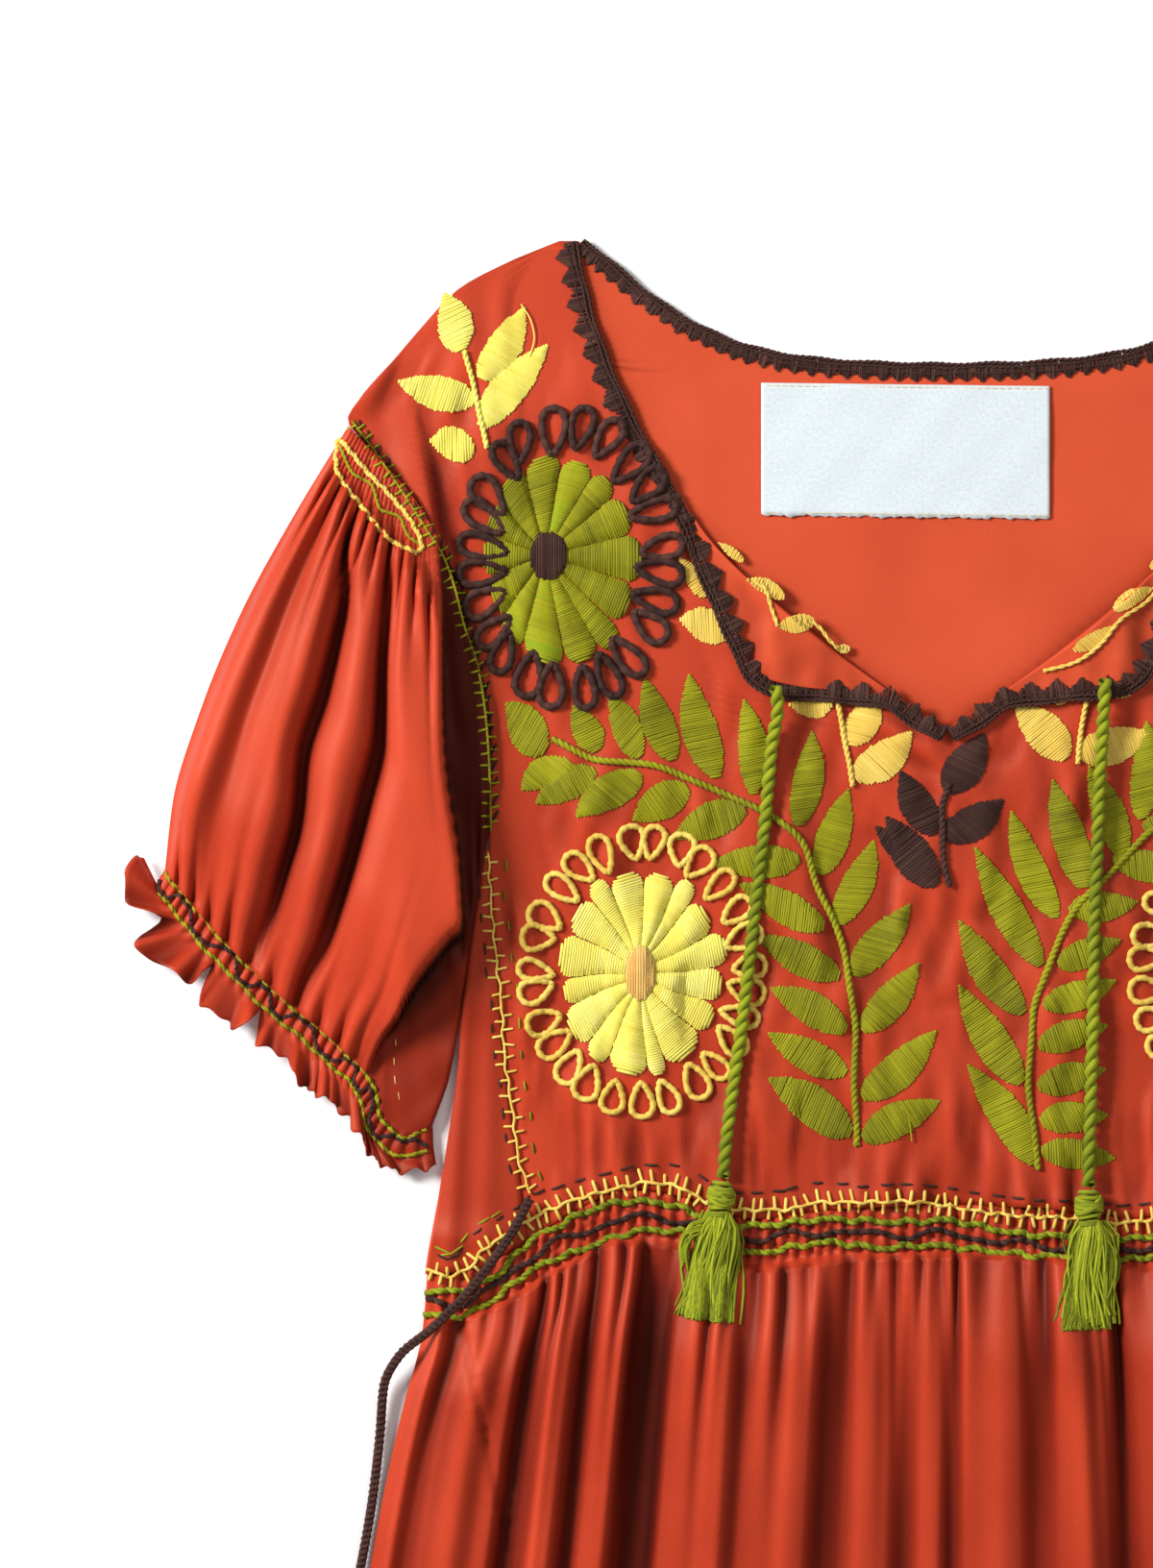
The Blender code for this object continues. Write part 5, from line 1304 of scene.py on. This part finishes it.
def loops(bundle, side, ring, inner, count, size, radius, seed):
    """Teardrop loops of thick yarn side by side round a flower."""
    draw = np.random.default_rng(seed)
    angles = np.linspace(0, 2 * math.pi, 720, endpoint=False)
    steps = np.hypot(ring[2] * np.cos(angles), ring[3] * np.sin(angles))
    walked = np.cumsum(steps) / steps.sum()
    for k in range(count):
        share = (k + 0.5 + 0.13 * draw.uniform(-1, 1)) / count
        angle = float(np.interp(share, walked, angles))
        tip = np.array([ring[0] + ring[2] * math.sin(angle), ring[1] - ring[3] * math.cos(angle)])
        root = np.array([inner[0] + inner[2] * math.sin(angle), inner[1] - inner[3] * math.cos(angle)])
        way = tip - root
        way = way / np.linalg.norm(way)
        lean = 0.22 * draw.uniform(-1, 1)
        way = np.array([way[0] * math.cos(lean) - way[1] * math.sin(lean), way[0] * math.sin(lean) + way[1] * math.cos(lean)])
        long = size[0] * (1 + 0.10 * draw.uniform(-1, 1))
        wide = size[1] * (1 + 0.14 * draw.uniform(-1, 1))
        centre = tip - way * 0.5 * long
        cross = np.array([-way[1], way[0]])
        t = np.linspace(0, 2 * math.pi, 60, endpoint=False)
        u = -0.5 * np.cos(t)
        v = 0.5 * np.sin(t) * (0.30 + 0.70 * (u + 0.5)) ** 0.85 * 1.18
        wobble = 0.03 * np.sin(3 * t + k)
        x = centre[0] + way[0] * u * long + cross[0] * v * wide * (1 + wobble)
        down = centre[1] + way[1] * u * long + cross[1] * v * wide * (1 + wobble)
        x = -side * x
        z = front_surface(x, down) + radius * 0.95
        thick = radius * (1 + 0.07 * np.sin(9 * t + k) + 0.05 * np.sin(17 * t))
        tone = 0.45 + 0.15 * math.sin(1.7 * k) + 0.12 * np.sin(9 * t + k)
        bundle.tube(place(x, down, z), thick * MM, 6, tone, close=True, turns=14)


def flowers(threads):
    for name, (outer, core, ring, petal_count, loop_count, swirl) in FLOWERS.items():
        green = name == "green"
        for word, side in SIDES.items():
            seed = (40 if green else 60) + int(side)
            tones = (0.74, 0.40, 0.36, 0.30, 0.34, 0.38, 0.46, 0.72, 0.62, 0.42, 0.44, 0.36, 0.34, 0.40) if green else (0.5, 0.62, 0.46)
            face = Threads(f"{name}_flower_{word}_petals", threads["leaf" if green else "lemon"], f"{name}_thread")
            petals(face, side, outer, core, petal_count, swirl, seed, tones)
            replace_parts(face.build(), f"{name}_flower_{word}")
            middle = Threads(f"{name}_flower_{word}_core", threads["brown" if green else "orange"], "crochet" if green else "yellow_thread")
            core_knot(middle, side, core, seed)
            middle.build()
            yarn_ring = Threads(f"{name}_flower_{word}_loops", threads["brown" if green else "gold"], "crochet" if green else "yellow_thread")
            size, thick = ((15.4, 8.9), 1.36) if green else ((12.0, 8.4), 1.06)
            loops(yarn_ring, side, (ring[0], ring[1], ring[2] - thick, ring[3] - thick), outer, loop_count, size, thick, seed)
            yarn_ring.build()


def sprigs(threads, lapel_top):
    """The leaves and stems on the front, and the reverse of those on the turned-back corners."""
    sets = (
        ("green_leaves", GREEN_LEFT + GREEN_RIGHT, "green", "leaf", "green_thread", 0.42),
        ("lemon_leaves", LEMON + tuple((-a, b, -c, d, w) for a, b, c, d, w in LEMON), "lemon", "lemon", "yellow_thread", 0.5),
        ("gold_leaves", GOLD, "gold", "gold", "yellow_thread", 0.5),
        ("brown_leaves", BROWN, "brown", "brown", "crochet", 0.42),
    )
    for seed, (name, rows, stems, thread, slot, tone) in enumerate(sets):
        bundle = Threads(name, threads[thread], slot)
        for k, row in enumerate(rows):
            leaf(bundle, row, front_surface, 100 * seed + k, tone=tone)
        for k, points in enumerate(STEMS[stems]):
            thick = 0.62 if stems in ("lemon", "gold") else 0.78
            stem(bundle, points, front_surface, 10 * seed + k, radius=thick, offset=0.7 * thick)
        for points in STRAYS.get(stems, ()):
            strand(bundle, laid(points, front_surface, 1.0)[0], 0.26, 0.7)
        bundle.build()
    bundle = Threads("reverse_leaves", threads["gold"], "yellow_thread")
    for k, row in enumerate(REVERSE):
        leaf(bundle, row, lapel_top[row[0] > 0], 500 + k, pitch=0.62, arch=0.16, loose=0.12, thick=0.38)
    for k, points in enumerate(STEMS["reverse"]):
        stem(bundle, points, lapel_top[points[0][0] > 0], 60 + k, radius=0.42, offset=0.35, pitch=6.0)
    bundle.build()


# ---- stitched rows ----

YELLOW_ROW = (
    (-180.3, 357.2), (-173.0, 359.7), (-165.3, 356.7), (-160.7, 350.7), (-152.0, 345.0), (-143.0, 339.3),
    (-132.7, 334.7), (-124.0, 331.7), (-114.3, 329.3), (-103.7, 327.3), (-93.0, 328.7), (-83.7, 333.7), (-71.0, 336.7),
    (-55.7, 336.7), (-45.3, 334.3), (-30.0, 334.0), (-14.7, 333.7), (-1.0, 335.3), (14.3, 337.7), (27.7, 339.0),
    (38.3, 339.3), (56.7, 341.3), (71.0, 340.0), (84.0, 335.0), (93.0, 330.7), (103.7, 329.3), (114.3, 330.3),
    (124.0, 332.7), (132.7, 335.7), (143.0, 340.3), (152.0, 346.0), (160.7, 351.7), (168.0, 357.7), (180.3, 358.7),
)
GREEN_ROW_HIGH = (
    (-180.8, 365.0), (-171.0, 365.0), (-156.7, 359.7), (-145.0, 348.0), (-132.7, 341.3), (-124.0, 337.0),
    (-108.7, 333.7), (-94.0, 335.3), (-88.3, 337.7), (-68.3, 342.3), (-41.3, 340.0), (-14.7, 341.0), (-1.0, 340.3),
    (14.3, 343.0), (27.7, 345.3), (38.3, 345.7), (57.0, 347.3), (71.0, 345.5), (88.3, 338.7), (108.7, 335.7),
    (124.0, 339.0), (132.7, 342.3), (145.0, 349.0), (156.7, 359.7), (171.0, 365.0), (180.8, 365.0),
)
GREEN_ROW_LOW = (
    (-181.2, 373.0), (-170.0, 373.7), (-159.3, 369.3), (-147.0, 359.7), (-137.3, 354.3), (-127.7, 351.0),
    (-118.0, 347.3), (-103.7, 343.7), (-91.3, 344.3), (-68.3, 351.7), (-40.3, 348.0), (-22.3, 350.0), (-7.0, 349.0),
    (14.3, 351.0), (27.7, 352.3), (38.3, 353.0), (57.0, 354.3), (71.0, 352.5), (91.3, 345.3), (103.7, 344.7),
    (118.0, 347.3), (127.7, 351.0), (137.3, 354.3), (147.0, 359.7), (159.3, 369.3), (170.0, 373.7), (181.2, 373.0),
)
SIDE_ROW = (
    (-159.0, 213.0), (-157.8, 232.0), (-156.0, 251.0), (-154.3, 264.7), (-153.3, 282.3), (-150.3, 303.7),
    (-148.3, 319.3), (-144.3, 331.0),
)
ARMHOLE_ROW = (
    (-206.0, 63.5), (-198.0, 74.5), (-190.0, 86.0), (-181.0, 100.0), (-174.0, 111.5), (-170.5, 121.0),
    (-167.3, 134.0), (-162.2, 150.0), (-159.5, 168.0), (-158.3, 188.0), (-158.0, 206.0),
)
SLEEVE_HEAD_HIGH = (
    (-210.5, 69.5), (-205.5, 75.5), (-201.2, 80.7), (-191.7, 90.7), (-184.5, 100.0), (-181.7, 107.3), (-183.5, 109.6),
)
SLEEVE_HEAD_LOW = (
    (-211.0, 70.5), (-211.3, 79.0), (-207.0, 88.0), (-203.3, 92.3), (-198.3, 99.0), (-191.7, 105.7), (-183.5, 109.6),
)
SLEEVE_HEAD_WAVE = (
    (-210.0, 72.5), (-205.5, 82.0), (-199.0, 86.0), (-196.0, 94.5), (-189.5, 97.0), (-186.5, 103.5), (-182.5, 106.5),
)


SLEEVE_SEAM = ((-191.5, 276.0), (-191.0, 288.0), (-189.0, 303.0))


def laid(points, surface, lift, spacing=0.7, sway=0.0, wave=12.0, seed=0, side=None):
    """A smooth line of places that lies on the cloth, as places, distances and the way across."""
    if side is not None:
        points = [(abs(x) * side, down) for x, down in points]
    spots, at = route([(x, down, 0.0) for x, down in points], spacing)
    ahead = np.gradient(spots, axis=0)
    ahead = ahead / np.linalg.norm(ahead, axis=1)[:, None]
    cross = np.stack([-ahead[:, 1], ahead[:, 0], 0 * at], -1)
    cross = cross * np.where(cross[:, 1:2] < 0, -1, 1) if abs(ahead[:, 0]).mean() > 0.6 else cross
    move = sway * (np.sin(2 * math.pi * at / wave + seed) + 0.5 * np.sin(2 * math.pi * at / (wave * 0.61) + 2 * seed))
    spots = spots + cross * move[:, None]
    spots[:, 2] = surface(spots[:, 0], spots[:, 1]) + lift
    return spots, at, cross, ahead


def strand(bundle, spots, radius, tone, sides=5):
    bundle.tube(place(spots[:, 0], spots[:, 1], spots[:, 2]), radius * MM, sides, tone)


def feather(bundle, line, surface, seed, pitch=4.0, reach=4.0, thick=0.62):
    """A row of bars to both sides of a wavering spine."""
    spots, at, cross, ahead = line
    draw = np.random.default_rng(seed)
    strand(bundle, spots, thick, 0.5 + 0.2 * np.sin(at / 2.1))
    for k in np.arange(0.5, at[-1] / (0.5 * pitch)):
        i = int(np.clip(np.searchsorted(at, k * 0.5 * pitch + draw.uniform(-0.5, 0.5)), 0, len(at) - 1))
        way = -1 if int(k) % 2 else 1
        long = reach * draw.uniform(0.82, 1.12)
        t = np.array([-0.12, 0.15, 0.5, 0.85, 1.0])
        lean = draw.uniform(-0.25, 0.25)
        bar = spots[i] + cross[i] * (way * long * t)[:, None] + ahead[i] * (lean * long * t)[:, None]
        bar[:, 2] = surface(bar[:, 0], bar[:, 1]) + np.array([0.9, 0.85, 0.7, 0.5, 0.15])
        strand(bundle, bar, thick * np.array([0.9, 1, 1, 1.05, 0.8]), draw.uniform(0.3, 0.8))


def dashes(bundle, line, surface, offset, pitch, long, seed, thick=0.5, skew=0.0):
    """Small straight stitches beside a line."""
    spots, at, cross, ahead = line
    draw = np.random.default_rng(seed)
    for spot in np.arange(pitch * 0.4, at[-1] - long, pitch):
        i = int(np.clip(np.searchsorted(at, spot + draw.uniform(-0.8, 0.8)), 0, len(at) - 1))
        size = long * draw.uniform(0.75, 1.15)
        t = np.array([-0.5, -0.3, 0.0, 0.3, 0.5])
        move = offset + draw.uniform(-0.5, 0.5)
        bar = spots[i] + cross[i] * (move + skew * size * t)[:, None] + ahead[i] * (size * t)[:, None]
        bar[:, 2] = surface(bar[:, 0], bar[:, 1]) + np.array([0.05, 0.45, 0.6, 0.45, 0.05])
        strand(bundle, bar, thick, draw.uniform(0.3, 0.7))


def herringbone(bundle, line, surface, wide, pitch, seed, thick=0.42):
    """Crossing slanted stitches along a line."""
    spots, at, cross, ahead = line
    draw = np.random.default_rng(seed)
    for k, spot in enumerate(np.arange(0, at[-1] - pitch, 0.5 * pitch)):
        i = int(np.clip(np.searchsorted(at, spot), 0, len(at) - 1))
        way = 1 if k % 2 else -1
        t = np.linspace(-0.5, 0.5, 6)
        lean = way * pitch * draw.uniform(0.75, 1.1)
        bar = spots[i] + cross[i] * (wide * draw.uniform(0.85, 1.15) * t)[:, None] + ahead[i] * (lean * t)[:, None]
        bar[:, 2] = surface(bar[:, 0], bar[:, 1]) + 0.45 + 0.35 * (1 - (2 * t) ** 2) + 0.2 * (k % 2)
        strand(bundle, bar, thick, draw.uniform(0.25, 0.8))


def rope(bundle, line, seed, thick=0.72, pitch=4.6):
    spots, at, _, _ = line
    twisted(bundle, spots, at, 2, pitch, thick, 0.62 * thick, 5, seed, 0.7)


def waist_rows(threads):
    green = Threads("waist_green_lines", threads["green"], "green_thread")
    for k, points in enumerate((GREEN_ROW_HIGH, GREEN_ROW_LOW)):
        rope(green, laid(points, front_surface, 0.9, sway=0.55, wave=13.0, seed=k + 1), 3 + k, 0.82, 5.2)
    brown = Threads("waist_brown_line", threads["brown"], "crochet")
    high, low = np.array(GREEN_ROW_HIGH), np.array(GREEN_ROW_LOW)
    x = np.linspace(-180.5, 180.5, 60)
    middle = 0.5 * (np.interp(x, high[:, 0], high[:, 1]) + np.interp(x, low[:, 0], low[:, 1]))
    rope(brown, laid(list(zip(x, middle)), front_surface, 0.9, sway=1.15, wave=27.0, seed=5), 9, 0.72, 5.0)
    yellow = Threads("waist_yellow_row", threads["gold"], "yellow_thread")
    line = laid(YELLOW_ROW, front_surface, 1.0, sway=0.35, wave=9.0, seed=2)
    feather(yellow, line, front_surface, 31)
    dashes(brown, line, front_surface, -6.2, 7.6, 4.0, 33)
    dashes(green, laid([row for row in YELLOW_ROW if row[0] < -136], front_surface, 0.6), front_surface, -8.0, 6.4, 5.0, 34, 0.4)
    for bundle in (green, brown, yellow):
        bundle.build()


def side_rows(threads):
    for word, side in SIDES.items():
        yellow = Threads(f"side_{word}_yellow_row", threads["gold"], "yellow_thread")
        line = laid(SIDE_ROW, front_surface, 1.0, sway=0.3, wave=11.0, seed=3, side=side)
        feather(yellow, line, front_surface, 35, pitch=5.2, reach=3.4, thick=0.46)
        yellow.build()
        brown = Threads(f"side_{word}_brown_dashes", threads["brown"], "crochet")
        dashes(brown, line, front_surface, -3.8 * side, 9.5, 3.8, 36, 0.42)
        brown.build()
        green = Threads(f"side_{word}_green_dashes", threads["green"], "green_thread")
        dashes(green, line, front_surface, 5.4 * side, 11.0, 3.6, 37, 0.36)
        green.build()


def armhole_rows(threads, sleeve_top):
    for word, side in SIDES.items():
        top = sleeve_top[word]
        edge = curve(OUTER_EDGE, np.array([down for _, down in ARMHOLE_ROW]))

        def both(x, down):
            on_body = np.abs(x) < curve(OUTER_EDGE, down) + 0.5
            return np.where(on_body, bodice_height(x, down), top(x, down))

        line = laid(ARMHOLE_ROW, both, 0.6, side=side)
        green = Threads(f"armhole_{word}_green", threads["leaf"], "green_thread")
        feather(green, line, both, 41, pitch=4.2, reach=2.9, thick=0.44)
        rope(green, laid(SLEEVE_HEAD_WAVE, top, 0.8, side=side), 5, 0.42, 3.6)
        green.build()
        brown = Threads(f"armhole_{word}_brown", threads["brown"], "crochet")
        dashes(brown, line, both, 1.6 * side, 5.6, 3.2, 42, 0.5, skew=0.6)
        brown.build()
        yellow = Threads(f"sleeve_head_{word}_yellow", threads["gold"], "yellow_thread")
        for k, points in enumerate((SLEEVE_HEAD_HIGH, SLEEVE_HEAD_LOW)):
            rope(yellow, laid(points, top, 0.9, sway=0.25, wave=5.0, seed=k, side=side), 7 + k, 0.62, 3.4)
        yellow.build()
        seam = Threads(f"sleeve_{word}_seam_stitches", threads["orange"], "yellow_thread")
        dashes(seam, laid(SLEEVE_SEAM, top, 0.2, side=side), top, 0.0, 6.4, 3.6, 43, 0.2)
        seam.build()


def cuff_rows(threads):
    for word, side in SIDES.items():
        green = Threads(f"cuff_{word}_green", threads["leaf"], "green_thread")
        share = np.linspace(0.0, 0.985, 260)
        for k, reach in enumerate((0.8, CUFF_BAND - 0.6)):
            sway = 0.35 * np.sin(share * 70 + k) + 0.25 * np.sin(share * 31 + 2 * k)
            spots, z = cuff_surface(share, reach + sway)
            path = np.column_stack([side * spots[:, 0], spots[:, 1], z + 0.65])
            long = np.concatenate([[0], np.cumsum(np.linalg.norm(np.diff(path, axis=0), axis=1))])
            twisted(green, path, long, 2, 5.0, 0.52, 0.34, 5, k, 0.7)
        green.build()
        brown = Threads(f"cuff_{word}_brown", threads["brown"], "crochet")
        weave = np.clip(1.7 * np.sin(46 * share + 0.8 * np.sin(17 * share)), -1, 1)
        spots, z = cuff_surface(share, 0.5 * CUFF_BAND + 2.2 * weave + 0.3 * np.sin(90 * share))
        path = np.column_stack([side * spots[:, 0], spots[:, 1], z + 0.75])
        long = np.concatenate([[0], np.cumsum(np.linalg.norm(np.diff(path, axis=0), axis=1))])
        twisted(brown, path, long, 2, 4.4, 0.55, 0.36, 5, 3, 0.7)
        brown.build()


def sleeve_reliefs():
    """The heights of both sleeves' upper cloth."""
    found = {}
    for word, side in SIDES.items():
        s, t = np.meshgrid(np.linspace(0, 1, 90), np.linspace(0, 1, 130), indexing="ij")
        spots = sleeve_place(s, t)
        z = sleeve_height(s, t) + BACK_MIDDLE + 0.9
        found[word] = Relief(spots[..., 0] * side, spots[..., 1], z)
    return found


def lapel_reliefs():
    share, across = np.meshgrid(np.linspace(0, 1, 90), np.linspace(0, 1, 34), indexing="ij")
    spot, z = lapel_surface(share, across)
    return {side > 0: Relief(spot[..., 0] * side, spot[..., 1], z) for side in SIDES.values()}


FOLD_SHADE = (
    (0.0, (1.0, 1.0, 1.0)), (0.12, (0.80, 0.76, 0.76)), (0.30, (0.50, 0.40, 0.40)), (0.55, (0.20, 0.12, 0.12)),
    (0.9, (0.06, 0.03, 0.03)),
)
DARK_SATIN = (0.43, 0.036, 0.013)
LIGHT_SATIN = (0.60, 0.060, 0.022)
DARK_REVERSE = (0.56, 0.068, 0.026)
LIGHT_REVERSE = (0.68, 0.092, 0.036)
GREENS = ((0.1, (0.07, 0.09, 0.004)), (0.45, (0.20, 0.235, 0.008)), (0.75, (0.34, 0.38, 0.013)), (1.0, (0.48, 0.51, 0.035)))
BROWNS = ((0.1, (0.016, 0.007, 0.006)), (0.5, (0.052, 0.020, 0.015)), (0.9, (0.125, 0.050, 0.036)))
GOLDS = ((0.1, (0.62, 0.36, 0.05)), (0.5, (0.80, 0.55, 0.10)), (0.9, (0.92, 0.72, 0.20)))
LEAF_GREENS = ((0.1, (0.11, 0.11, 0.004)), (0.4, (0.25, 0.235, 0.006)), (0.65, (0.35, 0.335, 0.009)), (0.9, (0.22, 0.36, 0.010)))
LEMONS = ((0.1, (0.72, 0.56, 0.07)), (0.5, (0.84, 0.74, 0.13)), (0.9, (0.92, 0.86, 0.28)))
ORANGES = ((0.1, (0.60, 0.30, 0.07)), (0.5, (0.78, 0.46, 0.13)), (0.9, (0.88, 0.62, 0.22)))


def main():
    camera()
    studio()
    green = yarn("green_thread", GREENS)
    brown = yarn("brown_yarn", BROWNS)
    yellow = yarn("gold_thread", GOLDS)
    threads = {
        "green": green, "brown": brown, "gold": yellow,
        "leaf": yarn("leaf_thread", LEAF_GREENS, 0.58), "lemon": yarn("lemon_thread", LEMONS, 0.58),
        "orange": yarn("orange_thread", ORANGES, 0.58),
    }
    cloth = satin("satin", DARK_SATIN, LIGHT_SATIN)
    reverse = satin("satin_reverse", DARK_REVERSE, LIGHT_REVERSE, 0.10)
    cords(green, brown)
    front_bodice(cloth)
    back_bodice(reverse)
    side_panels(cloth)
    skirt_panels(cloth)
    sleeves(cloth)
    lapels(reverse)
    edgings(brown)
    label(ribbon("label"), yellow)
    flowers(threads)
    sprigs(threads, lapel_reliefs())
    waist_rows(threads)
    side_rows(threads)
    armhole_rows(threads, sleeve_reliefs())
    cuff_rows(threads)
    bpy.context.view_layer.update()


main()
